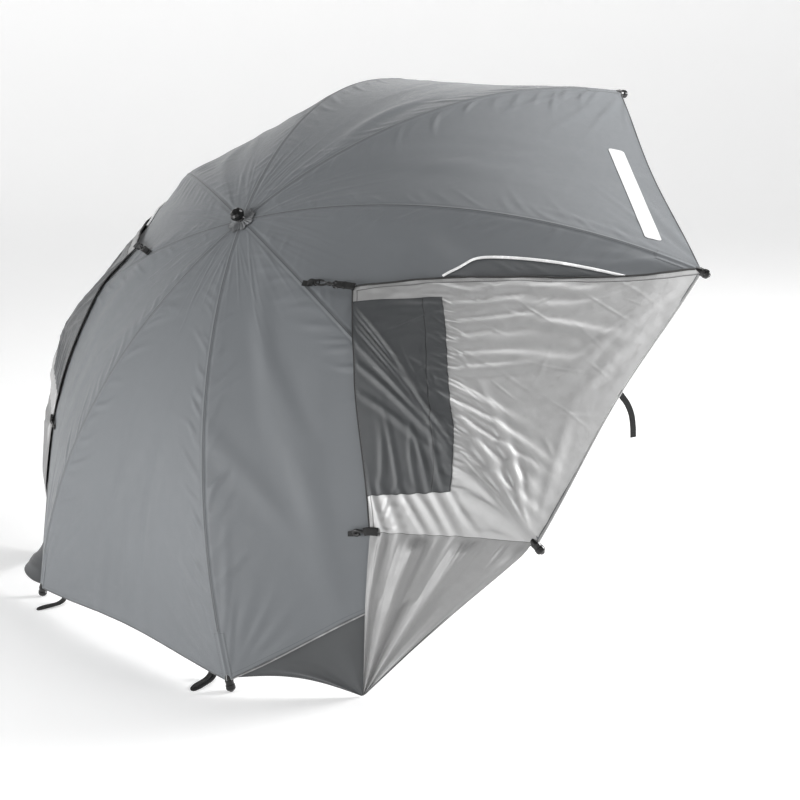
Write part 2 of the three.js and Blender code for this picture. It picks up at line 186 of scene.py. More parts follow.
def wrinkle(place, heading, length, width, height, bend=0.5, ahead=0.0):
    """A crease of sizes drawn from ranges, moved ahead of its place by a share of its length."""
    length = drawn(length)
    return crease(place + heading * length * ahead, heading, length, drawn(width), drawn(height),
                  rng.uniform(-bend, bend) if bend else 0.0)


def square_to(heading, facing):
    """The unit plan vector square to a heading, on the side that faces a given way."""
    square = np.array([heading[1], -heading[0]]) / np.linalg.norm(heading)
    return square if square @ facing > 0 else -square


def crease_height(creases, x, y):
    """How far all the creases lift a plan point. A crease is a ridge with a hollow each side."""
    total = np.zeros_like(x)
    west, east, south, north = x.min(), x.max(), y.min(), y.max()
    for place, heading, length, width, height, bend in creases:
        reached = 2.4 * length + 4 * width
        if not (west - reached < place[0] < east + reached
                and south - reached < place[1] < north + reached):
            continue
        dx, dy = x - place[0], y - place[1]
        along = (dx * heading[0] + dy * heading[1]) / length
        near = np.abs(along) < 2.4
        if not near.any():
            continue
        across = (dx * heading[1] - dy * heading[0])[near] / width
        across = across - bend * along[near] ** 2
        square = across ** 2
        total[near] += height * (1 - square) * np.exp(-square - along[near] ** 2)
    return total


def fan(corner, towards, spread, count, near, far, width, height):
    """Creases that run out of a corner, within so many degrees of a heading."""
    corner, towards = np.asarray(corner, float), np.asarray(towards, float)
    middle = math.atan2(*(towards - corner))
    made = []
    for i in range(count):
        share = (i + rng.uniform(0.15, 0.85)) / count * 2 - 1
        turn = middle + math.radians(spread) * share
        heading = bearing(turn)
        start, end = near * rng.uniform(0.7, 1.3), far * rng.uniform(0.6, 1.2)
        made.append(crease(corner + heading * (start + end) / 2, heading, (end - start) / 2.2,
                           width * rng.uniform(0.6, 1.5), height * rng.uniform(0.5, 1.3),
                           rng.uniform(-0.5, 0.5)))
    return made


def cover_creases():
    made = []
    for rib in range(1, RIBS + 1):
        turn = rib_turn(rib)
        out = bearing(turn)
        for side in (-1, 1):
            aside = side * np.array([-math.cos(turn), math.sin(turn)])
            radius = 0.16
            while radius < RIM - 0.06:
                length = rng.uniform(0.03, 0.065) * (0.6 + 0.8 * radius / RIM)
                lean = math.radians(rng.uniform(35, 60))
                heading = aside * math.cos(lean) - out * math.sin(lean)
                place = out * radius + heading * length * 1.1 + aside * 0.006
                made.append(crease(place, heading, length, rng.uniform(0.010, 0.017),
                                   rng.uniform(0.0012, 0.0042) * (0.35 + 0.75 * radius / RIM),
                                   rng.uniform(-0.6, 0.6)))
                radius += rng.uniform(0.028, 0.095)
            made += fan(out * RIM, out * RIM * 0.7 + aside * 0.35, 34, 7, 0.03, 0.36, 0.015, 0.0032)
            made += fan(out * 0.05, out * 0.3 + aside * 0.08, 13, 4, 0.02, 0.36, 0.007, 0.0014)
        along = bearing(turn + HALF_STEP)
        for _ in range(6):
            place = along * rng.uniform(0.40, 1.08) + rng.uniform(-0.14, 0.14, 2)
            heading = along + rng.uniform(-0.5, 0.5, 2)
            made.append(wrinkle(place, heading, (0.16, 0.3), (0.03, 0.06), (0.0020, 0.0048)))
    return made


COVER_CREASES = cover_creases()


def bare_height(x, y):
    """The cover with no creases: an octagon on each level, a little slack between the ribs."""
    radius, across = on_octagon(x, y)
    slack = SAG * (radius / RIM) * (1 - across ** 2) ** 2
    return -cover_drop(radius) - slack, radius, across


def smooth_height(x, y):
    return bare_height(x, y)[0]


def cover_height(x, y):
    base, radius, across = bare_height(x, y)
    from_rib = (1 - np.abs(across)) * radius * HALF_WIDTH
    seam = (0.0013 * np.exp(-(from_rib / 0.0045) ** 2)
            - 0.0009 * np.exp(-((from_rib - 0.009) / 0.004) ** 2))
    from_rim = (RIM - HEM_INSET - radius) * math.hypot(1, 0.8)
    hem = 0.0008 * smooth(HEM + 0.003, HEM - 0.001, from_rim)
    held = smooth(0.002, 0.02, from_rib)
    return base + seam + hem + crease_height(COVER_CREASES, x, y) * held


# ---- Meshes ----

def normals_of(height, x, y, step=0.0025):
    """Upward normals of a height over the plan, in the umbrella's frame."""
    dx = (height(x + step, y) - height(x - step, y)) / (2 * step)
    dy = (height(x, y + step) - height(x, y - step)) / (2 * step)
    normal = np.stack([-dx, -dy, np.ones_like(dx)], -1)
    return normal / np.linalg.norm(normal, axis=-1, keepdims=True)


def plan_uv(x, y):
    """A map of the weave from plan points, stretched a little for the cover's slope."""
    return np.stack([x, y], -1) * 1.1


def grid_normals(points):
    """Normals of a grid of points, (rows, columns, 3)."""
    normal = np.cross(np.gradient(points, axis=0), np.gradient(points, axis=1))
    size = np.linalg.norm(normal, axis=-1, keepdims=True)
    return normal / np.maximum(size, 1e-12)


def shell(name, points, uv, edges, materials, normals=None, mirrored=False):
    """A closed sheet of cloth from a grid of points on its outer face, in the row frame.

    materials are those of its outer face and its inner one. uv and edges are two UV maps in
    metres: the way of the weave, and the distances from the sewn edges."""
    if normals is None:
        normals = outward(points)
    points, normals = np.array(points, float), np.array(normals, float)
    if mirrored:
        points[..., 0] *= -1
        normals[..., 0] *= -1
    rows, columns = points.shape[:2]
    count = rows * columns
    inner = points - normals * CLOTH
    corners = np.arange(count).reshape(rows, columns)
    quads = np.stack([corners[:-1, :-1], corners[1:, :-1], corners[1:, 1:], corners[:-1, 1:]], -1)
    quads = quads.reshape(-1, 4)
    flat = points.reshape(-1, 3)
    centre = len(quads) // 2
    facing = np.cross(*(flat[quads[centre][i]] - flat[quads[centre][0]] for i in (1, 3)))
    if facing @ normals.reshape(-1, 3)[quads[centre][0]] < 0:
        quads = quads[:, ::-1]
    ring = np.concatenate([corners[0, :-1], corners[:-1, -1], corners[-1, :0:-1],
                           corners[:0:-1, 0]])
    following = np.roll(ring, -1)
    border = np.stack([ring, following, following + count, ring + count], -1)
    edge = set(zip(quads.ravel().tolist(), quads[:, [1, 2, 3, 0]].ravel().tolist()))
    if (int(ring[0]), int(following[0])) in edge:
        border = border[:, ::-1]
    # Both faces are split along the same diagonals, so that neither shows through the other.
    halves = np.concatenate([quads[:, [0, 1, 2]], quads[:, [0, 2, 3]]])
    outer, inner_faces = halves, halves[:, ::-1] + count
    rim = np.concatenate([border[:, [0, 1, 2]], border[:, [0, 2, 3]]])
    faces = np.concatenate([outer, inner_faces, rim])
    vertices = np.concatenate([flat, inner.reshape(-1, 3)])
    mesh = bpy.data.meshes.new(name)
    mesh.from_pydata(vertices.tolist(), [], faces.tolist())
    for title, values in (("weave", uv), ("edges", edges)):
        layer = mesh.uv_layers.new(name=title)
        both = np.concatenate([np.reshape(values, (-1, 2))] * 2)
        layer.data.foreach_set("uv", both[faces.ravel()].astype(np.float32).ravel())
    for material in materials:
        mesh.materials.append(material)
    slots = np.zeros(len(faces), np.int32)
    slots[len(outer):2 * len(outer)] = len(materials) - 1
    mesh.polygons.foreach_set("material_index", slots)
    mesh.shade_smooth()
    both_sides = np.concatenate([normals.reshape(-1, 3), -normals.reshape(-1, 3)])
    mesh.normals_split_custom_set_from_vertices(both_sides.tolist())
    piece = bpy.data.objects.new(name, mesh)
    bpy.context.collection.objects.link(piece)
    return piece


def solid(name, part, material, mirrored=False):
    """A closed body from vertices and faces, smooth but for its sharp edges."""
    vertices, faces = mirror(part) if mirrored else part
    mesh = bpy.data.meshes.new(name)
    mesh.from_pydata([tuple(v) for v in vertices], [], [tuple(f) for f in faces])
    mesh.materials.append(material)
    mesh.validate()
    piece = bpy.data.objects.new(name, mesh)
    bpy.context.collection.objects.link(piece)
    mesh.shade_smooth()
    mesh.set_sharp_from_angle(angle=math.radians(SHARP_ANGLE))
    return piece


def rings(sections):
    """Vertices and faces of a closed body through a list of rings of points, ends filled."""
    n = len(sections[0])
    vertices = [p for section in sections for p in section]
    faces = [(i * n + j, i * n + (j + 1) % n, (i + 1) * n + (j + 1) % n, (i + 1) * n + j)
             for i in range(len(sections) - 1) for j in range(n)]
    faces.append(tuple(range(n))[::-1])
    faces.append(tuple(range((len(sections) - 1) * n, len(sections) * n)))
    return vertices, faces


def across_of(direction):
    """Two unit vectors square to a direction."""
    direction = Vector(direction).normalized()
    helper = Vector((0, 0, 1)) if abs(direction.z) < 0.9 else Vector((1, 0, 0))
    first = direction.cross(helper).normalized()
    return first, direction.cross(first)


def turned(origin, direction, profile, sides):
    """A lathed body: profile is a list of (distance along, radius)."""
    first, second = across_of(direction)
    direction = Vector(direction).normalized()
    sections = []
    for along, radius in profile:
        centre = Vector(origin) + direction * along
        sections.append([centre + (first * math.cos(2 * math.pi * i / sides)
                                   + second * math.sin(2 * math.pi * i / sides)) * max(radius, 1e-4)
                         for i in range(sides)])
    return rings(sections)


def swept(path, width, thickness, up, sides, power):
    """A band or tube along a path, its broad side square to up. Power 1 is round in section."""
    path = [Vector(p) for p in path]
    sections = []
    for i, centre in enumerate(path):
        along = (path[min(i + 1, len(path) - 1)] - path[max(i - 1, 0)]).normalized()
        facing = up(i / (len(path) - 1)) if callable(up) else up
        square = along.cross(Vector(facing)).normalized()
        top = square.cross(along)
        section = []
        for j in range(sides):
            turn = 2 * math.pi * (j + 0.5) / sides
            c, s = (math.copysign(abs(v) ** power, v) for v in (math.cos(turn), math.sin(turn)))
            section.append(centre + square * (c * width / 2) + top * (s * thickness / 2))
        sections.append(section)
    return rings(sections)


def piped(path, width, thickness=None, sides=8, power=1.0):
    """A cord of cloth along a path over the cover."""
    return swept(path, width, thickness or width, POLE_UP, sides, power)


def merged(parts):
    vertices, faces = [], []
    for part_vertices, part_faces in parts:
        start = len(vertices)
        vertices += list(part_vertices)
        faces += [tuple(i + start for i in face) for face in part_faces]
    return vertices, faces


def curve_through(points, steps=8):
    """A smooth line through a few points, as a list of many."""
    points = [np.array(p, float) for p in points]
    padded = [2 * points[0] - points[1], *points, 2 * points[-1] - points[-2]]
    made = []
    for a, b, c, d in zip(padded, padded[1:], padded[2:], padded[3:]):
        for i in range(steps):
            t = i / steps
            made.append(0.5 * (2 * b + (c - a) * t + (2 * a - 5 * b + 4 * c - d) * t ** 2
                               + (3 * b - a - 3 * c + d) * t ** 3))
    return [*made, points[-1]]


def mirror(part):
    vertices, faces = part
    return [(-v[0], v[1], v[2]) for v in vertices], [tuple(reversed(f)) for f in faces]


# ---- Materials ----

class Graph:
    """A material's nodes, with short calls for the ones used most."""

    def __init__(self, name):
        self.material = bpy.data.materials.new(name)
        self.material.use_nodes = True
        self.tree = self.material.node_tree
        self.shader = self.tree.nodes["Principled BSDF"]

    def put(self, socket, value):
        if isinstance(value, bpy.types.NodeSocket):
            self.tree.links.new(value, socket)
        else:
            socket.default_value = value

    def node(self, kind, inputs=(), **settings):
        made = self.tree.nodes.new(kind)
        for key, value in settings.items():
            setattr(made, key, value)
        for key, value in dict(inputs).items():
            self.put(made.inputs[key], value)
        return made

    def math(self, operation, a, b=0.0):
        return self.node("ShaderNodeMath", {0: a, 1: b}, operation=operation).outputs[0]

    def union(self, marks):
        whole = marks[0]
        for mark in marks[1:]:
            whole = self.math("MAXIMUM", whole, mark)
        return whole

    def map_range(self, value, low, high, to_low=0.0, to_high=1.0):
        made = self.node("ShaderNodeMapRange", {0: value, 1: low, 2: high, 3: to_low, 4: to_high},
                         interpolation_type="SMOOTHSTEP")
        return made.outputs[0]

    def uv(self, name):
        made = self.node("ShaderNodeUVMap", uv_map=name)
        parts = self.node("ShaderNodeSeparateXYZ", {0: made.outputs[0]})
        return parts.outputs[0], parts.outputs[1], made.outputs[0]

    def object_place(self):
        return self.node("ShaderNodeTexCoord").outputs["Object"]

    def noise(self, vector, scale, detail=3.0, roughness=0.5, stretch=None):
        if stretch:
            vector = self.node("ShaderNodeMapping", {"Vector": vector, "Scale": stretch}).outputs[0]
        inputs = {"Vector": vector, "Scale": scale, "Detail": detail, "Roughness": roughness}
        return self.node("ShaderNodeTexNoise", inputs).outputs["Fac"]

    def mix(self, share, a, b):
        made = self.node("ShaderNodeMix", data_type="RGBA")
        self.put(made.inputs["Factor"], share)
        self.put(made.inputs["A"], a)
        self.put(made.inputs["B"], b)
        return made.outputs["Result"]

    def bump(self, height, distance, strength, normal=None):
        inputs = {"Height": height, "Distance": distance, "Strength": strength}
        made = self.node("ShaderNodeBump", inputs)
        if normal is not None:
            self.put(made.inputs["Normal"], normal)
        return made.outputs[0]

    def line(self, distance, place, half_width):
        """1 on a line at a distance from an edge, fading to 0 at its half width."""
        off = self.math("ABSOLUTE", self.math("SUBTRACT", distance, place))
        return self.map_range(off, half_width, half_width * 0.4)

    def dashes(self, along, pitch):
        part = self.math("FRACT", self.math("DIVIDE", along, pitch))
        return self.map_range(self.math("ABSOLUTE", self.math("SUBTRACT", part, 0.5)), 0.4, 0.3)

    def weave(self, u, v, pitch):
        """A plain weave's height: warp over weft, then weft over warp."""
        a = self.math("SINE", self.math("MULTIPLY", u, 2 * math.pi / pitch))
        b = self.math("SINE", self.math("MULTIPLY", v, 2 * math.pi / pitch))
        return self.math("MULTIPLY", a, b)

    def finish(self, **inputs):
        """Sets inputs of the shader, which are named by its sockets, and gives the material."""
        for key, value in inputs.items():
            self.put(self.shader.inputs[key.replace("_", " ").title()], value)
        return self.material


def grey(level, blue=1.0):
    return (level, level * (1 + (blue - 1) * 0.5), level * blue, 1)


def shaded(colour, share):
    return tuple(share * c for c in colour[:3]) + (1,)


def cloth_material(name, colour, dark, roughness, metallic=0.0, sheen=0.0, shaded_seam_lines=(),
                   stitches=(), crumple=0.0, stitch_colour=None):
    """Thin woven cloth. Seam lines and stitches are (which edge, distance from it) in metres."""
    g = Graph(name)
    u, v, vector = g.uv("weave")
    first, second, _ = g.uv("edges")
    place = g.object_place()
    broad = g.noise(place, 2.2, 2.0)
    mottled = g.noise(place, 38.0, 4.0, 0.6)
    shade = g.math("ADD", g.math("MULTIPLY", broad, 0.6), g.math("MULTIPLY", mottled, 0.4))
    base = g.mix(g.map_range(shade, 0.3, 0.7), dark, colour)
    weave = g.weave(u, v, WEAVE_PITCH)
    slub = g.noise(vector, 260.0, 2.0, 0.6, stretch=(1.0, 0.12, 1.0))
    normal = g.bump(g.math("ADD", weave, g.math("MULTIPLY", slub, 0.8)), 0.00009, 0.55)
    if crumple:
        fine = g.noise(place, 46.0, 5.0, 0.62)
        ridged = g.math("ABSOLUTE", g.math("SUBTRACT", g.noise(place, 17.0, 4.0, 0.55), 0.5))
        crumpled = g.math("ADD", g.math("MULTIPLY", fine, 0.35), g.math("MULTIPLY", ridged, -1.3))
        normal = g.bump(crumpled, crumple, 0.8, normal)
    edges = (first, second)
    # Seam lines are darkened: partly the seams' own colour, partly painted shade in their creases.
    seam_shade_marks = [g.line(edges[which], distance, SEAM_HALF) for which, distance in shaded_seam_lines]
    if seam_shade_marks:
        lines = g.union(seam_shade_marks)
        base = g.mix(g.math("MULTIPLY", lines, 0.85), base, shaded(dark, 0.25))
        normal = g.bump(g.math("SUBTRACT", 1.0, lines), 0.0006, 0.6, normal)
    threads = [g.math("MULTIPLY", g.line(edges[which], distance, STITCH_HALF),
                      g.dashes((v, u)[which], STITCH_PITCH)) for which, distance in stitches]
    if threads:
        sewn = g.union(threads)
        base = g.mix(g.math("MULTIPLY", sewn, 0.8), base, stitch_colour or shaded(dark, 0.4))
        normal = g.bump(sewn, 0.0003, 0.5, normal)
    rough = g.map_range(mottled, 0.3, 0.7, roughness - 0.05, roughness + 0.07)
    return g.finish(base_color=base, roughness=rough, metallic=metallic, sheen_weight=sheen,
                    sheen_roughness=0.35, normal=normal)


def webbing_material():
    g = Graph("webbing")
    place = g.object_place()
    ribbed = {"Vector": place, "Scale": 210.0, "Distortion": 1.5, "Detail": 2.0}
    rib = g.node("ShaderNodeTexWave", ribbed, bands_direction="DIAGONAL").outputs["Fac"]
    cross = g.noise(place, 520.0, 2.0)
    return g.finish(base_color=g.mix(g.math("MULTIPLY", rib, cross), grey(0.003), grey(0.016)),
                    roughness=g.map_range(cross, 0.3, 0.7, 0.6, 0.85),
                    normal=g.bump(g.math("ADD", rib, cross), 0.0004, 0.8))


def plastic_material(name, colour, roughness, grain):
    g = Graph(name)
    place = g.object_place()
    fine = g.noise(place, 900.0, 2.0)
    wear = g.noise(place, 24.0, 5.0, 0.65)
    return g.finish(base_color=g.mix(g.map_range(wear, 0.45, 0.75), colour, shaded(colour, 1.7)),
                    roughness=g.map_range(wear, 0.3, 0.7, roughness - 0.04, roughness + 0.10),
                    normal=g.bump(fine, grain, 0.6))


def metal_material(name, colour, roughness, metallic, brushed):
    g = Graph(name)
    place = g.object_place()
    streaks = g.noise(place, 60.0, 3.0, 0.6, stretch=brushed)
    spots = g.noise(place, 11.0, 5.0, 0.7)
    return g.finish(base_color=g.mix(g.map_range(spots, 0.4, 0.75), colour, shaded(colour, 0.72)),
                    roughness=g.map_range(streaks, 0.3, 0.7, roughness - 0.08, roughness + 0.12),
                    metallic=metallic, normal=g.bump(streaks, 0.0001, 0.5))


def label_material():
    g = Graph("blank_label")
    first, second, _ = g.uv("edges")
    border = g.line(g.math("MINIMUM", first, second), 0.006, 0.0016)
    print_grain = g.noise(g.object_place(), 420.0, 3.0)
    base = g.mix(g.map_range(print_grain, 0.3, 0.7), grey(0.66), grey(0.74))
    return g.finish(base_color=g.mix(g.math("MULTIPLY", border, 0.55), base, grey(0.30)),
                    roughness=0.5, normal=g.bump(print_grain, 0.0001, 0.4))


COVER_GREY, COVER_DARK = grey(0.142, 1.14), grey(0.130, 1.14)
SILVER, SILVER_DARK = grey(0.60, 1.0), grey(0.53, 1.0)

cover_cloth = cloth_material("cover_cloth", COVER_GREY, COVER_DARK, 0.55, sheen=0.25,
                             shaded_seam_lines=[(0, 0.0)], stitches=[(0, 0.0045), (1, 0.012)],
                             crumple=0.0003)
lining = cloth_material("silver_lining", SILVER, SILVER_DARK, 0.42, metallic=0.55,
                        stitches=[(0, 0.0045), (1, 0.012)], crumple=0.0008,
                        stitch_colour=grey(0.25))
wing_silver = cloth_material("wing_silver", grey(0.47), grey(0.41), 0.46, metallic=0.60,
                             shaded_seam_lines=[(0, 0.0148)], stitches=[(0, 0.003), (0, 0.012)],
                             crumple=0.0009, stitch_colour=grey(0.25))
flap_cloth = cloth_material("flap_cloth", grey(0.060, 1.12), grey(0.052, 1.12), 0.45, sheen=0.2,
                            shaded_seam_lines=[(0, 0.0), (1, 0.0), (0, STRIP_WIDTH)],
                            stitches=[(0, 0.003), (1, 0.003)], crumple=0.0007)
skirt_cloth = cloth_material("skirt_cloth", grey(0.068, 1.10), grey(0.060, 1.10), 0.6, sheen=0.2,
                             stitches=[(0, 0.004), (0, 0.011)])
wing_lining = cloth_material("wing_lining", grey(0.155, 1.12), grey(0.142, 1.12), 0.55, sheen=0.25,
                             crumple=0.0008)
# The wing's silver cloth made darker: painted shade on the foot.
shaded_foot_silver = cloth_material("shaded_foot_silver", grey(0.31), grey(0.26), 0.46, metallic=0.5,
                             shaded_seam_lines=[(1, 0.0)], stitches=[(0, 0.004), (0, 0.014), (1, 0.006)],
                             crumple=0.0013, stitch_colour=grey(0.25))
# The cover cloth made darker: painted shade on the tilted vent flap.
vent_cloth = cloth_material("vent_cloth", grey(0.080, 1.12), grey(0.071, 1.12), 0.55, sheen=0.2,
                            crumple=0.0005)
pocket_cloth = cloth_material("pocket_cloth", COVER_GREY, COVER_DARK, 0.55, sheen=0.25,
                              stitches=[(0, 0.002), (1, 0.003)])
rosette_cloth = cloth_material("rosette_cloth", grey(0.16, 1.07), grey(0.14, 1.07), 0.6, sheen=0.25,
                               shaded_seam_lines=[(0, 0.0)], stitches=[(0, 0.003)])
hem_cloth = plastic_material("hem_cloth", grey(0.085, 1.07), 0.6, 0.0003)
wing_roll = metal_material("wing_roll", grey(0.60), 0.38, 0.6, (1.0, 1.0, 1.0))
dark_binding = plastic_material("dark_binding", grey(0.022), 0.65, 0.0003)
piping_cloth = plastic_material("white_piping", grey(0.78), 0.45, 0.0003)
# Light grey for the painted highlight along the hem over the skirts.
hem_highlight_piping = plastic_material("hem_highlight_piping", grey(0.24), 0.5, 0.0003)
webbing = webbing_material()
black_plastic = plastic_material("black_plastic", grey(0.012), 0.42, 0.0002)
gloss_plastic = plastic_material("gloss_plastic", grey(0.006), 0.14, 0.00003)
rod_black = plastic_material("fibreglass_rod", grey(0.02), 0.35, 0.0001)
rib_steel = metal_material("rib_steel", grey(0.52, 1.03), 0.34, 0.9, (1.0, 1.0, 0.1))
pole_paint = metal_material("pole_paint", grey(0.58, 1.02), 0.36, 0.35, (1.0, 1.0, 1.0))
label_white = label_material()

CAD_LOOKS = {
    "pole_upper": pole_paint, "pole_lower": pole_paint, "ground_spike": black_plastic,
    "clamp_collar": black_plastic, "hub": black_plastic, "runner": black_plastic,
    "clamp_screw": gloss_plastic, "finial": gloss_plastic, "runner_button": gloss_plastic,
}
for number in range(1, RIBS + 1):
    CAD_LOOKS.update({f"rib_inner_{number}": rib_steel, f"stretcher_{number}": rib_steel,
                      f"rib_outer_{number}": rod_black})


# ---- Cloth on the ribs ----

def dress(piece, body, slot, rib=None, node=None, **sheet):
    """Puts a finished piece on its body. Given a rib, it gets a mesh of its own."""
    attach(piece, body)
    if node:
        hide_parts(node)
    if rib:
        aside = spoke(rib, 0.0, 1.0, 0.0) @ AXES
        anchor = to_row(spoke(rib, RIM, 0.0, rib_point(RIM)[1]))
        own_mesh(piece)


def fitting(name, part, material, body, slot, rib=None, mirrored=False, node=None, **sheet):
    """A small piece made from its vertices and faces, and put on its body."""
    dress(solid(name, part, material, mirrored), body, slot, rib, node, **sheet)


def across_rib(half_width, columns):
    """Distances from the rib, close together by the seam, for rows of different half widths."""
    near = np.array([0.0, 0.0018, 0.0045, 0.0080, 0.0120])
    scale = np.minimum(1.0, half_width / 0.05)[:, None]
    rest = np.linspace(0, 1, columns + 1)[1:] ** 1.2
    start = near[-1] * scale
    return np.concatenate([near * scale, start + (half_width[:, None] - start) * rest], 1)


def cover_piece(rib, part, start, end, rows, columns):
    """The inner or outer part of one rib's share of the cover, between two radii on the rib."""
    radii = np.linspace(start, end, rows + 1)
    outer = part == "outer"
    half = radii * HALF_WIDTH
    side = across_rib(half, columns)
    aside = np.concatenate([-side[:, :0:-1], side], 1)
    share = np.abs(aside) / half[:, None]
    radius = np.repeat(radii[:, None], share.shape[1], 1)
    # The line over the joint is square to the rib, and the rows near it lean to meet it.
    square = radius / (1 - share * INWARD)
    lean = smooth(end, start, radii) if outer else smooth(start, end, radii)
    radius = radius + (square - radius) * lean[:, None]
    aside = np.sign(aside) * share * radius * HALF_WIDTH
    if outer:
        pull = RIM_PULL * np.sin(math.pi / 2 * np.minimum(share, 1)) ** 2
        radius = radius - pull * smooth(RIM * 0.6, RIM, radius)
        aside = np.sign(aside) * share * radius * HALF_WIDTH
    out = radius * (1 - share * INWARD)
    flat = spoke(rib, out, aside, 0.0)
    x, y = flat[..., 0], flat[..., 1]
    points = np.stack([x, y, cover_height(x, y)], -1)
    normals = normals_of(cover_height, x, y)
    from_rim = np.full_like(radius, 1.0)
    if outer:
        from_rim = np.where(radius > JOINT, (radii[-1] - radii)[:, None] * 1.35, 1.0)
    uv = np.stack([aside, radius * 1.15], -1)
    edges = np.stack([np.abs(aside), from_rim], -1)
    piece = shell(f"cover_{part}_{rib}", to_row(points), uv, edges, [cover_cloth, lining],
                  normals @ AXES)
    width, length = 2 * end * HALF_WIDTH, (end - start) * 1.18
    area = (start + end) / (2 * end) * width * length
    dress(piece, f"rib_{part}_{rib}", "cover_cloth", rib, f"gore_{part}_{rib}",
          flat=(width, length), held="stretched", rests_on=[f"rib_inner_{rib}"], area=area)


def cover():
    for rib in range(1, RIBS + 1):
        cover_piece(rib, "inner", COVER_INNER, JOINT, 50, 26)
        cover_piece(rib, "outer", JOINT, RIM - HEM_INSET, 112, 44)


# ---- Wings, feet and skirts: worked out where X is negative, and mirrored ----

def placed(point, lift, height, side=1):
    """A plan point at a lift over a height. With side -1, it is to be flipped on to its place."""
    x, y = (np.asarray(point[k], float) for k in (0, 1))
    return to_row(np.stack([x, y, height(side * x, y) + lift], -1))


def on_cover(point, lift):
    """A plan point over the smooth cover, in the row frame."""
    return placed(point, lift, smooth_height)


def on_cloth(point, lift, mirrored=False):
    """A plan point over the creased cover, in the row frame."""
    return placed(point, lift, cover_height, -1 if mirrored else 1)


def cover_up(point):
    """The smooth cover's outward normal at a plan point, in the row frame."""
    return tuple(normals_of(smooth_height, *np.asarray(point, float)) @ AXES)


def rim_reach(turn, inset=0.0):
    """How far out the cover's hem is on a bearing, pulled in between the ribs."""
    inside = turn - np.round(turn / (2 * HALF_STEP)) * 2 * HALF_STEP
    from_rib = 1 - np.abs(np.tan(inside)) / math.tan(HALF_STEP)
    radius = RIM - HEM_INSET - RIM_PULL * np.sin(math.pi / 2 * from_rib) ** 2 - inset
    return radius * math.cos(HALF_STEP) / np.cos(inside)


def reach(line, turns):
    """How far out a line of plan points is, on bearings from the back."""
    line = np.asarray(line, float)
    out = np.full(turns.shape, np.nan)
    for a, b in zip(line, line[1:]):
        off_a = a[0] * np.cos(turns) - a[1] * np.sin(turns)
        off_b = b[0] * np.cos(turns) - b[1] * np.sin(turns)
        share = off_a / (off_a - off_b)
        here = (share > -1e-9) & (share < 1 + 1e-9)
        x, y = (a[k] + (b[k] - a[k]) * share for k in (0, 1))
        out = np.where(here, np.hypot(x, y), out)
    return out


def distance_to(line, x, y):
    """Distance in plan from each point to a line of plan points."""
    nearest = np.full(np.shape(x), 9.0)
    for a, b in zip(line, line[1:]):
        run = b - a
        share = np.clip(((x - a[0]) * run[0] + (y - a[1]) * run[1]) / (run @ run), 0, 1)
        away = np.hypot(x - a[0] - run[0] * share, y - a[1] - run[1] * share)
        nearest = np.minimum(nearest, away)
    return nearest


def along(line, share):
    """Points at shares of a line's length."""
    line = np.asarray(line, float)
    steps = np.linalg.norm(np.diff(line, axis=0), axis=1)
    places = np.concatenate([[0], np.cumsum(steps)]) / steps.sum()
    return np.stack([np.interp(share, places, line[:, k]) for k in range(line.shape[1])], -1)


def tip_of(rib, inset):
    return bearing(rib_turn(rib)) * (RIM - inset)


UPPER_TIP, LOWER_TIP, REAR_TIP = tip_of(6, 0.016), tip_of(7, 0.014), tip_of(8, 0.014)
TOP_EDGE = np.array(curve_through([UPPER_TIP, *WING_FREE_EDGE[:4]]))
SIDE_EDGE = np.array(curve_through(WING_FREE_EDGE[3:]))
FREE_EDGE = np.concatenate([TOP_EDGE, SIDE_EDGE[1:]])
LOW_SEAM = np.array([LOWER_TIP, WING_CLIP])
PATCH_TOP_LEFT, PATCH_LOW_LEFT = plan(0.46, 285.6), plan(0.814, 308.2)
PATCH_RIGHT = np.array(curve_through([plan(0.625, 271.4), plan(0.668, 277.0), plan(0.732, 285.1),
                                      plan(0.800, 291.6), plan(0.870, 296.7)]))


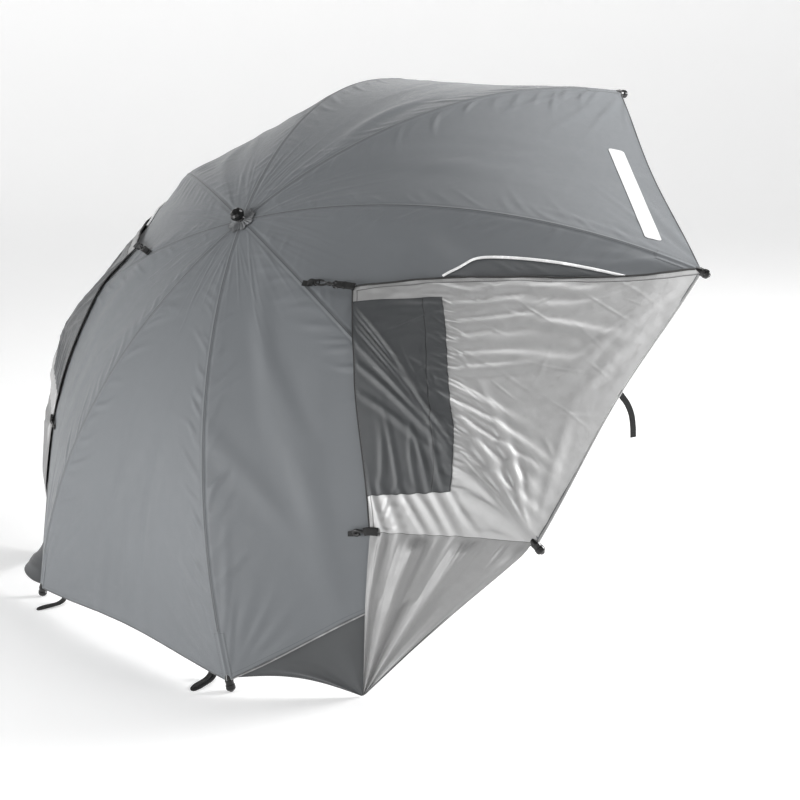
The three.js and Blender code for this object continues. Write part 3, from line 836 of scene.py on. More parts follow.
def wing_creases():
    made = []
    # Soft folds that run off the patch's sewn edge, and short puckers along it.
    for share in np.linspace(0.03, 0.97, 13):
        place = along(PATCH_RIGHT, share)
        ahead = (along(PATCH_RIGHT, min(share + 0.03, 1.0))
                 - along(PATCH_RIGHT, max(share - 0.03, 0.0)))
        away = square_to(ahead, place)
        towards = LOWER_TIP - place if share > 0.45 else UPPER_TIP * 0.75 - place
        lean = 0.25 + 0.75 * abs(share - 0.35)
        heading = away * (1 - lean) + towards / np.linalg.norm(towards) * lean
        made.append(wrinkle(place, heading, (0.09, 0.17), (0.016, 0.026), (0.006, 0.0105),
                            ahead=0.8))
    for share in np.linspace(0.02, 0.98, 34):
        place = along(PATCH_RIGHT, share)
        away = np.array([-1.0, -0.25]) + rng.uniform(-0.3, 0.3, 2)
        made.append(wrinkle(place + away * 0.012, away, (0.014, 0.03), (0.004, 0.007),
                            (0.0012, 0.0028), bend=0))
    # The three long folds that draw down into the lower tip.
    for start, width, height in ((plan(0.74, 286.0), 0.020, 0.012),
                                 (plan(0.80, 281.0), 0.017, 0.009),
                                 (plan(0.86, 296.0), 0.018, 0.009)):
        run = LOWER_TIP - start
        made.append(crease(start + run * 0.55, run, np.linalg.norm(run) * 0.42, width, height, 0.7))
    for corner, towards, *sizes in (
            (LOWER_TIP, LOWER_TIP * 0.72 - 0.02, 62, 11, 0.02, 0.20, 0.008, 0.0034),
            (LOWER_TIP, plan(0.95, 280.0), 30, 5, 0.02, 0.34, 0.014, 0.0045),
            (UPPER_TIP, plan(0.80, 268.0), 26, 9, 0.02, 0.42, 0.014, 0.0042),
            (UPPER_TIP, plan(0.97, 262.0), 10, 4, 0.04, 0.55, 0.020, 0.0060),
            (WING_TOP_CORNER, plan(0.62, 266.0), 20, 5, 0.03, 0.30, 0.013, 0.0042),
            (WING_CLIP, plan(0.90, 300.0), 42, 7, 0.02, 0.16, 0.009, 0.0035)):
        made += fan(corner, towards, *sizes)
    # Long folds under the top edge, and upright ones below the patch.
    for share in (0.16, 0.30, 0.44, 0.58):
        place = along(TOP_EDGE, 1 - share)
        heading = along(TOP_EDGE, 1 - share - 0.05) - place
        inward = square_to(heading, LOWER_TIP - place)
        for step in (0.035, 0.085, 0.14):
            made.append(wrinkle(place + inward * step, heading + inward * 0.02 * rng.uniform(-1, 1),
                                (0.07, 0.15), (0.013, 0.022), (0.003, 0.0065)))
    for share in np.linspace(0.08, 0.98, 6):
        top = PATCH_LOW_LEFT + (PATCH_RIGHT[-1] - PATCH_LOW_LEFT) * share
        heading = top / np.linalg.norm(top) + np.array([0.25, 0.25]) * rng.uniform(0.2, 1.0)
        made.append(wrinkle(top + heading * 0.045, heading, (0.045, 0.075), (0.011, 0.018),
                            (0.005, 0.009)))
    for _ in range(70):
        place = plan(rng.uniform(0.6, 0.97), rng.uniform(254, 292))
        heading = (LOWER_TIP + UPPER_TIP) * rng.uniform(-0.2, 0.5) - place
        heading = heading + rng.uniform(-0.4, 0.4, 2)
        made.append(wrinkle(place, heading, (0.02, 0.06), (0.005, 0.010), (0.0006, 0.0018), 0.6))
    return made


WING_CREASES = wing_creases()


def wing_height(x, y):
    """The wing's outer face. It bridges over the ribs, and comes down to the cover at the rim."""
    turn = np.arctan2(x, y)
    radius, _ = on_octagon(x, y)
    base = 0.0
    for step in (-0.016, -0.008, 0.0, 0.008, 0.016):
        base = base + 0.2 * smooth_height(x + step * np.cos(turn), y - step * np.sin(turn))
    from_rim = RIM - HEM_INSET - RIM_PULL - radius
    free = smooth(-0.02, 0.055, from_rim)
    at_rim, most = 0.0026, 0.010
    lifted = base + at_rim + (WING_LIFT - at_rim) * free
    folds = most * np.tanh(crease_height(WING_CREASES, x, y) / most)
    lifted = lifted + folds * (0.22 + 0.78 * free)
    return np.maximum(lifted, smooth_height(x, y) + 0.0022 + 0.0015 * free)


def both_sides(make):
    """Makes a piece on each side, the second one mirrored. Side is 'right' where X is negative."""
    for side in SIDES:
        make(side, side == "left")


def rib_on(side, right_rib):
    return right_rib if side == "right" else RIBS + 1 - right_rib


def outward(points):
    """Normals of a grid of points, turned to point away from the middle of the shelter."""
    normals = grid_normals(points)
    centre = np.array([0.0, 0.1, 0.35])
    facing = np.sum((points - centre) * normals, -1).mean()
    return normals if facing > 0 else -normals


def wing(side, mirrored):
    low, corner, seam, high = (math.radians(t) for t in (-112.2, -78.05, -67.5, -49.75))
    turns = np.concatenate([np.linspace(low, corner, 190)[:-1], np.linspace(corner, seam, 70)[:-1],
                            np.linspace(seam, high, 90)])
    near = reach(FREE_EDGE, turns)
    far = np.where(turns <= seam + 1e-9, rim_reach(turns, -0.003), 0.0)
    beyond = turns > seam + 1e-9
    far[beyond] = reach(LOW_SEAM, turns[beyond])
    rows = np.linspace(0, 1, 150)[:, None] ** 0.92
    radius = near + (far - near) * rows
    x, y = radius * np.sin(turns), radius * np.cos(turns)
    points = to_row(np.stack([x, y, wing_height(x, y)], -1))
    normals = normals_of(wing_height, x, y) @ AXES
    # Plan distances are lengthened for the slope of the cloth.
    from_free = distance_to(FREE_EDGE, x, y) * 1.12
    from_far = np.minimum((far - radius) * 1.3, 0.5)
    rib = rib_on(side, 7)
    piece = shell(f"wing_{side}_cloth", points, plan_uv(x, y),
                  np.stack([from_free, from_far], -1), [wing_silver, wing_lining], normals,
                  mirrored)
    dress(piece, f"wing_{side}", "silver_cloth", rib, f"wing_{side}", flat=(1.32, 1.02),
          held="stretched", rests_on=[f"rib_inner_{rib}"], area=0.66)


def wing_edges(side, mirrored):
    """The round edge along the rim, and the dark binding on the free edge."""

    def edge(title, line, lift, size, material, slot):
        path = [on_cover(p, l) for p, l in zip(line, lift)]
        fitting(f"wing_{title}_{side}", piped(path, size), material,
                f"wing_{side}", slot, rib_on(side, 7), mirrored)

    turns = np.radians(np.linspace(-111.6, -67.9, 120))
    out = rim_reach(turns, -0.004)
    line = np.stack([out * np.sin(turns), out * np.cos(turns)], -1)
    edge("rim_roll", line, np.full(120, 0.0022), 0.0052, wing_roll, "silver_cloth")
    for title, border, size in (("top_binding", TOP_EDGE, 0.0064),
                                ("side_binding", SIDE_EDGE, 0.0042)):
        line = along(border, np.linspace(0.012, 0.995, 160))
        lift = wing_height(line[:, 0], line[:, 1]) - smooth_height(line[:, 0], line[:, 1])
        edge(title, line, lift, size, dark_binding, "webbing")


def patch_creases():
    made = []
    width = PATCH_RIGHT[0] - PATCH_TOP_LEFT
    for share, height, length in ((0.04, 0.0075, 0.15), (0.14, 0.0095, 0.19),
                                  (0.25, 0.0085, 0.20), (0.38, 0.0060, 0.17),
                                  (0.55, 0.0040, 0.12)):
        start = along(SIDE_EDGE, share * 0.75 + 0.06)
        heading = LOWER_TIP * 0.93 - start
        heading = heading / np.linalg.norm(heading)
        made.append(crease(start + heading * length * 1.1, heading, length,
                           rng.uniform(0.011, 0.016), height, rng.uniform(0.2, 0.8)))
    for share in (0.2, 0.42, 0.60, 0.78, 0.92):
        low = PATCH_LOW_LEFT + (PATCH_RIGHT[-1] - PATCH_LOW_LEFT) * share
        heading = PATCH_TOP_LEFT + width * 0.6 - low + rng.uniform(-0.06, 0.06, 2)
        heading = heading / np.linalg.norm(heading)
        made.append(wrinkle(low + heading * 0.07, heading, (0.06, 0.10), (0.010, 0.018),
                            (0.004, 0.0075), 0.6))
    for share in np.linspace(0.02, 0.98, 24):
        place = along(PATCH_RIGHT, share)
        heading = np.array([1.0, 0.3]) + rng.uniform(-0.4, 0.4, 2)
        made.append(wrinkle(place + np.array([0.020, 0.006]), heading, (0.012, 0.024),
                            (0.004, 0.007), (0.0008, 0.0018), bend=0))
    return made


PATCH_CREASES = patch_creases()


def window_patch(side, mirrored):
    """The flap sewn over the wing's window: a panel and, down its outer side, a facing strip."""
    top, low = (distance_to([p, p + 1e-6], SIDE_EDGE[:, 0], SIDE_EDGE[:, 1]).argmin()
                for p in (PATCH_TOP_LEFT, PATCH_LOW_LEFT))
    down = np.linspace(0, 1, 110)
    inset, on_wing, strip_lift = np.array([-0.0022, 0.0]), 0.0016, 0.0012
    left = along(SIDE_EDGE[top:low + 1], down) + inset
    right = along(PATCH_RIGHT, down)
    over = np.linspace(0, 1, 100)
    place = left[:, None] + (right - left)[:, None] * over[None, :, None]
    x, y = place[..., 0], place[..., 1]
    width = np.linalg.norm(right - left, axis=1)[:, None] * 1.05
    from_right = (1 - over)[None] * width
    strip = smooth(STRIP_WIDTH + 0.002, STRIP_WIDTH - 0.002, from_right)

    def height(px, py):
        held = np.minimum.reduce([distance_to(line, px, py) for line in (left, right)])
        folds = np.maximum(crease_height(PATCH_CREASES, px, py), -0.0010)
        return wing_height(px, py) + on_wing + folds * smooth(0.0, 0.015, held)

    points = to_row(np.stack([x, y, height(x, y) + strip_lift * strip], -1))
    from_ends = np.minimum(down, 1 - down)[:, None] * 0.62
    edges = np.stack([from_right, np.minimum(from_ends, over[None] * width)], -1)
    piece = shell(f"window_flap_{side}", points, plan_uv(x, y), edges, [flap_cloth],
                  mirrored=mirrored)
    dress(piece, f"wing_{side}", "cover_cloth", rib_on(side, 7), flat=(0.66, 0.36),
          held="stretched", rests_on=[f"wing_{side}_cloth"], area=0.185)


# ---- Feet and skirts ----

def ground_place(lift):
    return np.array([*GROUND_POINT, lift])


def rim_line(share, lift, out):
    """Points along the rim from the rear tip to the lower one, in the row frame."""
    place = REAR_TIP + (LOWER_TIP - REAR_TIP) * np.asarray(share)[..., None]
    turn = np.arctan2(place[..., 0], place[..., 1])
    radius = np.minimum(rim_reach(turn), np.hypot(place[..., 0], place[..., 1])) + out
    return on_cover((radius * np.sin(turn), radius * np.cos(turn)), lift)


def folds_across(across, folds):
    """The summed height of soft folds, each (place across, width, height)."""
    return sum(height * np.exp(-((across - place) / width) ** 2) for place, width, height in folds)


def rounded_path(corners, count, radius):
    """A path through a few corners, rounded off, with even steps."""
    line = along(corners, np.linspace(0, 1, 240))
    span = np.linalg.norm(np.diff(corners, axis=0), axis=1).sum()
    window = max(3, int(240 * radius / span) | 1)
    padded = np.pad(line, ((window // 2, window // 2), (0, 0)), mode="edge")
    mean = np.ones(window) / window
    even = np.stack([np.convolve(padded[:, k], mean, "valid") for k in range(3)], -1)
    even[0], even[-1] = line[0], line[-1]
    return along(even, np.linspace(0, 1, count))


FOOT_FOLDS = [(0.04, 0.030, 0.007), (0.13, 0.035, -0.007), (0.27, 0.075, 0.020),
              (0.44, 0.060, -0.012), (0.60, 0.070, 0.016), (0.76, 0.050, -0.006),
              (0.90, 0.035, 0.006)]
SKIRT_FOLDS = [(0.10, 0.035, 0.006), (0.22, 0.045, -0.004), (0.38, 0.06, 0.005),
               (0.62, 0.07, -0.004)]


def wing_foot(side, mirrored):
    """The wing's lower corner, from the seam above it over the rim and down to the ground."""
    columns, rows = 150, 120
    shares = np.linspace(0.004, 0.985, columns)
    top = along(LOW_SEAM[::-1], shares)
    lift = wing_height(top[:, 0], top[:, 1]) - smooth_height(top[:, 0], top[:, 1])
    start = on_cover((top[:, 0], top[:, 1]), lift)
    end = ground_place(0.004)
    trial = rim_line(np.linspace(0.25, 0.985, 300), OVER_RIM, OVER_RIM)
    paths = []
    for i in range(columns):
        way = np.linalg.norm(trial - start[i], axis=1) + np.linalg.norm(trial - end, axis=1)
        over = trial[max(way.argmin(), int(299 * (shares[i] ** 1.5)))]
        on = top[i] + (to_umbrella(over)[:2] - top[i]) * np.linspace(0, 1, 9)[1:-1, None]
        resting = on_cover((on[:, 0], on[:, 1]), np.linspace(lift[i], OVER_RIM, 9)[1:-1])
        paths.append(rounded_path(np.array([start[i], *resting, over, end]), rows, 0.05))
    points = np.stack(paths, 1)
    normals = outward(points)
    down = np.linspace(0, 1, rows)[:, None]
    across = shares[None, :]
    spread = smooth(0.0, 0.10, down) * (1 - down) ** 0.55 * smooth(0.0, 0.02, across)
    offset = folds_across(across - 0.10 * (1 - down) + 0.05, FOOT_FOLDS)
    for place in rng.uniform(0.03, 0.97, 22):
        long = rng.uniform(0.05, 0.16)
        offset = offset + rng.uniform(0.0015, 0.003) * np.exp(-((across - place) / 0.010) ** 2
                                                             - (down / long) ** 2) * 2.0
    resting = smooth(0.34, 0.44, down)
    offset = np.where(offset < 0, offset * resting, offset) * spread
    turned_in = smooth(0.86, 0.995, across) * smooth(0.1, 0.5, down) * 0.012
    points = points + normals * (offset - turned_in)[..., None]
    length = np.linalg.norm(np.diff(points, axis=0), axis=2).sum(0)
    from_left = np.linalg.norm(points - points[:, :1], axis=2)
    from_right = np.linalg.norm(points - points[:, -1:], axis=2)
    uv = np.stack([across * 0.7 + 0 * down, down * length[None]], -1)
    edges = np.stack([np.minimum(from_left, from_right), down * length[None]], -1)
    piece = shell(f"wing_foot_{side}_cloth", points, uv, edges, [shaded_foot_silver, wing_lining],
                  mirrored=mirrored)
    dress(piece, f"wing_foot_{side}", "silver_cloth", rib_on(side, 7), f"wing_foot_{side}",
          flat=(0.56, 0.54), held="stretched", rests_on=[f"wing_{side}_cloth"], area=0.135)


def skirt(side, mirrored):
    """The darker gusset between the rim and the ground, drawn in to one ground point."""
    columns, rows = 110, 80
    across = np.linspace(0.012, 0.955, columns)[None, :]
    down = np.linspace(0, 0.985, rows)[:, None]
    top = rim_line(across[0], -0.003, -0.003)
    low = ground_place(GROUND_GAP)
    points = top[None] + (low - top)[None] * down[..., None]
    points[..., 2] = np.maximum(points[..., 2], GROUND_GAP)
    arch = 0.030 * np.sin(math.pi * down) * smooth(0.30, 0.0, across)
    points[..., 2] += arch
    if mirrored:
        by_tip = np.clip(1 - across / 0.32, 0, 1) ** 1.3
        slack = LEFT_SLACK * np.sin(math.pi * down ** 0.8) * by_tip
        points = points + outward(points) * slack[..., None]
    normals = outward(points)
    offset = folds_across(across, SKIRT_FOLDS)
    for place in rng.uniform(0.0, 0.16, 9):
        far = rng.uniform(0.15, 0.5)
        offset = offset + rng.uniform(-0.003, 0.004) * np.exp(-((across - place) / 0.012) ** 2
                                                              - (down / far) ** 2)
    points = points + normals * (offset * np.sin(math.pi * down) ** 0.7)[..., None]
    points[..., 2] = np.maximum(points[..., 2], GROUND_GAP)
    from_low = np.linalg.norm(points - points[:, :1], axis=2)
    length = np.linalg.norm(top - low, axis=1)[None]
    uv = np.stack([across * 0.95 + 0 * down, down * length], -1)
    piece = shell(f"skirt_{side}_cloth", points, uv, np.stack([from_low, down * length], -1),
                  [skirt_cloth], mirrored=mirrored)
    rib = rib_on(side, 8)
    dress(piece, f"rib_outer_{rib}", "skirt_cloth", rib, f"skirt_{side}", flat=(0.90, 0.24),
          held="stretched", rests_on=[f"rib_outer_{rib}"], area=0.105)
    # A light grey cord along the rim over the skirt: a painted highlight on the cover's hem edge.
    path = rim_line(np.linspace(0.012, 0.97, 120), 0.0012, 0.002)
    fitting(f"skirt_hem_highlight_{side}", piped(path, 0.0046), hem_highlight_piping,
            f"rib_outer_{rib}", "skirt_cloth", rib, mirrored)


# ---- Vent, label, rosette and ties: sewn to the cover ----

def smoothed(path):
    """A path with each point at the mean of five, and its ends where they were."""
    padded = np.pad(path, ((2, 2), (0, 0)), mode="edge")
    mean = sum(padded[k:k + len(path)] for k in range(5)) / 5
    return np.concatenate([path[:1], mean[1:-1], path[-1:]])


def cover_patch(name, x, y, lift, edges, material, rib, mirrored, slot, flat):
    """A patch sewn on the cover, from a grid of plan points. flat is length, width and area, and is
    not used.
    """
    points = on_cloth((x, y), lift, mirrored)
    piece = shell(name, points, plan_uv(x, y), edges, [material], mirrored=mirrored)
    dress(piece, f"rib_outer_{rib}", slot, rib, flat=flat[:2], held="stretched",
          rests_on=[f"cover_outer_{rib}"], area=flat[2])


VENT_LINE = np.array(curve_through([plan(0.598, 266.6), plan(0.617, 262.8), plan(0.632, 259.6),
                                    plan(0.665, 257.7), plan(0.735, 255.6), plan(0.81, 254.0),
                                    plan(0.875, 253.0), plan(0.91, 252.6)]))


def vent(side, mirrored):
    """The flap over the vent in the side panel, and the white piping round it."""
    rib = rib_on(side, 6)
    share, depth = np.linspace(0, 1, 90), np.linspace(0, 1, 30)[:, None]
    upper = along(VENT_LINE, share)
    lower = VENT_LINE[0] + (VENT_LINE[-1] - VENT_LINE[0]) * share[:, None]
    lower = lower + (lower - upper) * 0.12
    x, y = (upper[:, k] + (lower[:, k] - upper[:, k]) * depth for k in (0, 1))
    puff = 0.0030 + 0.0035 * np.sin(math.pi * depth * 0.8) * np.sin(math.pi * share[None]) ** 0.5
    for place in rng.uniform(0.1, 0.9, 7):
        ridge = np.exp(-((share[None] - place - 0.1 * depth) / 0.03) ** 2) * np.sin(math.pi * depth)
        puff = puff + rng.uniform(0.0006, 0.0016) * ridge
    from_piping = depth * np.linalg.norm(upper - lower, axis=1)[None]
    cover_patch(f"vent_flap_{side}", x, y, puff, np.stack([from_piping, np.full_like(x, 1.0)], -1),
                vent_cloth, rib, mirrored, "cover_cloth", (0.44, 0.12, 0.026))
    line = along(VENT_LINE, np.linspace(0, 1, 110))
    path = smoothed(on_cloth(line.T, 0.0055, mirrored))
    fitting(f"vent_piping_{side}", piped(path, 0.0105, 0.0060, 10), piping_cloth,
            f"rib_outer_{rib}", "silver_cloth", rib, mirrored)


def label():
    """A blank label by the rim, on the half of the panel that rib 6 carries."""
    columns, rows = 120, 24
    half_long, half_wide, corner = 0.245, 0.0285, 0.010
    from_middle, out_share = 0.150, 0.921
    along_x = np.linspace(-1, 1, columns)
    near_end = np.clip((np.abs(along_x) * half_long - (half_long - corner)) / corner, 0, 1)
    narrow = (half_wide - corner + corner * np.sqrt(1 - near_end ** 2)) / half_wide
    across = np.linspace(-1, 1, rows)[:, None] * np.maximum(narrow, 0.05)[None]
    panel = rib_turn(6) - HALF_STEP
    out_way = bearing(panel)
    side_way = np.array([math.cos(panel), -math.sin(panel)])
    centre = out_way * RIM * math.cos(HALF_STEP) * out_share + side_way * from_middle
    x, y = (centre[k] + side_way[k] * along_x * half_long
            + out_way[k] * across * half_wide * SLOPE_SHORTENING for k in (0, 1))
    edges = np.stack([half_wide * (1 - np.abs(np.linspace(-1, 1, rows)))[:, None] + 0 * x,
                      half_long * (1 - np.abs(along_x))[None] + 0 * x], -1)
    cover_patch("blank_label", x, y, 0.0022, edges, label_white, 6, False, "silver_cloth",
                (0.49, 0.057, 0.0275))


def rosette():
    """The pleated round of cloth that the finial clamps on the crown."""
    bearings, rows = np.linspace(0, 2 * math.pi, 241), np.linspace(0, 1, 24)[:, None]
    scallop = 0.047 + 0.0035 * np.cos(8 * bearings) + 0.0016 * np.cos(19 * bearings + 1.0)
    radius = 0.0125 + (scallop - 0.0125) * rows
    x, y = radius * np.sin(bearings), radius * np.cos(bearings)
    waves = np.cos(24 * bearings + 2.0 * np.sin(3 * bearings))
    pleats = 0.0022 * waves * np.sin(math.pi * rows * 0.9) ** 0.7
    height = smooth_height(x, y) + 0.0042 + 0.004 * (1 - rows) ** 2 + pleats
    piece = shell("crown_rosette_cloth", to_row(np.stack([x, y, height], -1)), np.stack([x, y], -1),
                  np.stack([scallop - radius, radius], -1), [rosette_cloth])
    dress(piece, "pole", "cover_cloth", None, "crown_rosette", flat=(0.094, 0.094), held="gathered",
          rests_on=["hub"], area=0.0069)


# ---- Fittings ----

def rib_direction(rib, radius):
    """Outward along a rib, in the row frame."""
    near, far = rib_point(radius - 0.004), rib_point(radius + 0.004)
    return (spoke(rib, far[0], 0.0, far[1]) - spoke(rib, near[0], 0.0, near[1])) @ AXES / 0.008


def tip_cap(rib):
    centre = to_row(spoke(rib, RIM, 0.0, rib_point(RIM)[1]))
    profile = [(-0.046, 0.0040), (-0.045, 0.0078), (-0.040, 0.0100), (-0.030, 0.0120),
               (-0.027, 0.0132), (-0.024, 0.0132), (-0.0225, 0.0124), (-0.014, 0.0127),
               (-0.0125, 0.0142), (-0.004, 0.0145)]
    profile += [(-0.004 + 0.009 * math.sin(a), 0.0055 + 0.009 * math.cos(a))
                for a in np.linspace(0.2, 1.45, 7)]
    profile.append((0.0050, 0.0002))
    part = turned(centre, rib_direction(rib, RIM - 0.004), profile, sides=28)
    fitting(f"tip_cap_{rib}", part, gloss_plastic, f"rib_outer_{rib}", "gloss_plastic")


def tip_pocket(rib):
    """The doubled patch in the cover's corner that holds the rib's tip, under the cap."""
    start, half = RIM - 0.115, 0.018
    out = np.linspace(start, RIM - 0.017, 26)[:, None]
    aside = np.linspace(-half, half, 17)[None, :]
    flat = spoke(rib, out, aside, 0.0)
    x, y = flat[..., 0], flat[..., 1]
    edges = np.stack(np.broadcast_arrays(half - np.abs(aside), (out - start) * 1.4), -1)
    piece = shell(f"tip_pocket_{rib}", on_cloth((x, y), 0.0011), np.stack([x, y], -1), edges,
                  [pocket_cloth])
    dress(piece, f"rib_outer_{rib}", "cover_cloth", flat=(0.148, 0.038), held="stretched",
          rests_on=[f"cover_outer_{rib}"])


def rib_ties(rib):
    """Webbing loops that hold the cover down on its rib, seen from inside."""
    for number, radius in enumerate((0.28, 0.72, 1.02), 1):
        body = f"rib_inner_{rib}" if radius < JOINT else f"rib_outer_{rib}"
        centre = rib_point(radius)
        along_rib = rib_direction(rib, radius)
        aside = spoke(rib, 0.0, 1.0, 0.0) @ AXES
        up = np.cross(along_rib, aside)
        up = up if up @ np.array(POLE_UP) > 0 else -up
        middle = to_row(spoke(rib, centre[0], 0.0, centre[1]))
        wide, high = (0.0052, 0.0066) if radius < JOINT else (0.0046, 0.0050)
        turns = np.linspace(math.radians(-215), math.radians(35), 30)
        path = [middle + aside * wide * math.cos(t) * 1.15 + up * high * math.sin(t) * 1.1
                for t in turns]
        part = swept(path, 0.010, 0.0012, lambda share: path[int(share * 29)] - middle, 8, 0.5)
        fitting(f"rib_tie_{rib}_{number}", part, webbing, body, "webbing", flat=(0.026, 0.010),
                held="folded", rests_on=[body])


def rivets(rib):
    """Domed heads on the pins of a rib's two joints."""
    joint = rib_point(JOINT)
    tilt = math.atan(cover_slope(JOINT))
    back, below = 0.018, 0.014
    stretcher = joint + np.array([-back * math.cos(tilt) - below * math.sin(tilt),
                                  back * math.sin(tilt) - below * math.cos(tilt)])
    aside = spoke(rib, 0.0, 1.0, 0.0) @ AXES
    profile = [(0.0050, 0.0034), (0.0056, 0.0034), (0.0064, 0.0031), (0.0070, 0.0020),
               (0.0072, 0.0002)]
    parts = [turned(to_row(spoke(rib, place[0], 0.0, place[1])), aside * way, profile, 16)
             for place in (joint, stretcher) for way in (1, -1)]
    fitting(f"rib_rivets_{rib}", merged(parts), rib_steel, f"rib_inner_{rib}", "rib_steel")


def strap(name, path, size, up, body, rib, mirrored, held, rests_on, node=None):
    """A length of webbing along a path. size is its width and thickness."""
    length = np.linalg.norm(np.diff(np.array(path), axis=0), axis=1).sum()
    fitting(name, swept(path, *size, up, 12, 0.35), webbing, body, "webbing", rib, mirrored, node,
            flat=(length, size[0]), held=held, rests_on=[rests_on])


class ClipLine:
    """A line on the cover that a clip lies along, with its ways: along it, to its side and up."""

    def __init__(self, start, run, up, mirrored):
        self.start, self.run, self.up, self.mirrored = start, run, up, mirrored
        along_way = Vector(self.over_cover(1.0, 0.0) - self.over_cover(0.0, 0.0)).normalized()
        side_way = along_way.cross(Vector(up)).normalized()
        self.ways = along_way, side_way, side_way.cross(along_way)

    def over_cover(self, share, lift):
        return on_cover(self.start + self.run * share, lift)

    def strap(self, name, places, steps, size, *rest):
        """A strap through (share of the run, lift) over the smooth cover."""
        path = [self.over_cover(share, lift) for share, lift in places]
        strap(name, curve_through(path, steps), size, self.up, *rest)

    def sewn_strap(self, name, places, steps, size, *rest):
        """A strap through (share of the run, lift) over the creased cover."""
        path = [on_cloth(self.start + self.run * share, lift, self.mirrored)
                for share, lift in places]
        strap(name, curve_through(path, steps), size, self.up, *rest)

    def offset(self, origin, places):
        """Points at (along, to the side, up) from an origin."""
        along_way, side_way, lift_way = self.ways
        return [origin + along_way * a + side_way * b + lift_way * c for a, b, c in places]


def upper_clip(side, mirrored):
    """Anchor tab and ring on the cover, then the wing's snap hook on its sleeve."""
    anchor, corner = plan(0.334, 290.2), np.array(WING_TOP_CORNER)
    line = ClipLine(anchor, corner - anchor, cover_up((anchor + corner) / 2), mirrored)
    along_way, _, lift_way = line.ways
    rib = rib_on(side, 7)
    inner, wing_body = f"rib_inner_{rib}", f"wing_{side}"
    line.sewn_strap(f"clip_anchor_{side}",
                    ((-0.20, 0.0035), (-0.10, 0.0038), (0.0, 0.0045), (0.06, 0.0075),
                     (0.10, 0.0110), (0.11, 0.0140), (0.07, 0.0160), (0.0, 0.0130),
                     (-0.07, 0.0065)),
                    5, (0.020, 0.0020), inner, rib, mirrored, "folded", f"cover_inner_{rib}")
    ring = line.offset(Vector(line.over_cover(0.16, 0.0125)),
                       [(0.011 * math.cos(t), 0.010 * math.sin(t), 0.0)
                        for t in np.linspace(0, 2 * math.pi, 33)[:-1]])
    ring.append(ring[0] + Vector((1e-6, 0, 0)))
    fitting(f"clip_ring_{side}", swept(ring, 0.0034, 0.0034, lift_way, 10, 1.0), gloss_plastic,
            inner, "gloss_plastic", rib, mirrored)
    start = Vector(line.over_cover(0.24, 0.0150))
    hook = line.offset(start, (
        (0.030, 0.0, 0.0), (0.022, 0.004, 0.0), (0.010, 0.0085, 0.0), (-0.004, 0.0075, 0.001),
        (-0.011, 0.0, 0.001), (-0.004, -0.0075, 0.001), (0.006, -0.0085, 0.0),
        (0.014, -0.0065, 0.0)))
    gate = line.offset(start, ((0.012, -0.0062, 0.0), (0.020, -0.004, 0.0), (0.029, -0.001, 0.0)))
    eye = line.offset(start, ((0.052, -0.008, 0.0), (0.062, -0.011, 0.0), (0.066, -0.006, 0.0),
                              (0.066, 0.006, 0.0), (0.062, 0.011, 0.0), (0.052, 0.008, 0.0)))
    swivel = turned(start + along_way * 0.027, along_way,
                    [(0, 0.0040), (0.002, 0.0062), (0.010, 0.0066), (0.013, 0.0046),
                     (0.016, 0.0046), (0.018, 0.0078), (0.026, 0.0082), (0.030, 0.0060)], 20)
    part = merged([swept(curve_through(hook, 7), 0.0058, 0.0054, lift_way, 10, 0.8),
                   swept(gate, 0.0042, 0.0040, lift_way, 8, 0.8), swivel,
                   swept(eye, 0.0045, 0.0045, lift_way, 8, 0.8)])
    fitting(f"snap_hook_{side}", part, black_plastic, wing_body, "black_plastic", rib, mirrored,
            f"wing_clip_{side}")
    line.strap(f"clip_sleeve_{side}",
               ((0.60, 0.0150), (0.66, 0.0160), (0.75, 0.0175), (0.86, 0.0185), (0.97, 0.0185),
                (1.07, 0.0180)),
               8, (0.021, 0.0085), wing_body, rib, mirrored, "folded", f"wing_{side}_cloth")
    for number, (share, lift) in enumerate(((0.62, 0.0155), (0.84, 0.0178), (1.04, 0.0178)), 1):
        band = [line.over_cover(share + step, lift) for step in (-0.022, 0.022)]
        fitting(f"clip_sleeve_band_{side}_{number}", swept(band, 0.0235, 0.0105, line.up, 12, 0.35),
                black_plastic, wing_body, "black_plastic", rib, mirrored)


def lower_clip(side, mirrored):
    """The hook that holds the wing's low corner to a loop on the cover."""
    corner = np.array(WING_CLIP)
    run = (corner - LOWER_TIP) / np.linalg.norm(corner - LOWER_TIP) * 0.085
    line = ClipLine(corner, run, cover_up(corner + run * 0.4), mirrored)
    rib, rear = rib_on(side, 7), rib_on(side, 8)
    line.strap(f"low_clip_sleeve_{side}",
               ((-0.30, 0.0185), (-0.20, 0.0200), (-0.05, 0.0205), (0.06, 0.0195), (0.16, 0.0165)),
               8, (0.023, 0.0085), f"wing_{side}", rib, mirrored, "folded", f"wing_{side}_cloth")
    hook = line.offset(Vector(line.over_cover(0.13, 0.0150)), (
        (0.0, 0.0, 0.0), (0.010, 0.001, 0.001), (0.021, 0.004, 0.003), (0.030, 0.004, 0.001),
        (0.035, -0.001, -0.003), (0.032, -0.008, -0.004), (0.024, -0.009, -0.003),
        (0.018, -0.006, -0.002)))
    part = swept(curve_through(hook), 0.0095, 0.0078, line.ways[2], 12, 0.75)
    fitting(f"low_clip_hook_{side}", part, black_plastic, f"wing_{side}", "black_plastic", rib,
            mirrored)
    line.sewn_strap(f"low_clip_loop_{side}",
                    ((0.78, 0.0034), (0.62, 0.0040), (0.49, 0.0075), (0.45, 0.0105),
                     (0.50, 0.0125), (0.60, 0.0090), (0.74, 0.0060)),
                    6, (0.014, 0.0018), f"rib_outer_{rear}", rear, mirrored, "folded",
                    f"cover_outer_{rear}")


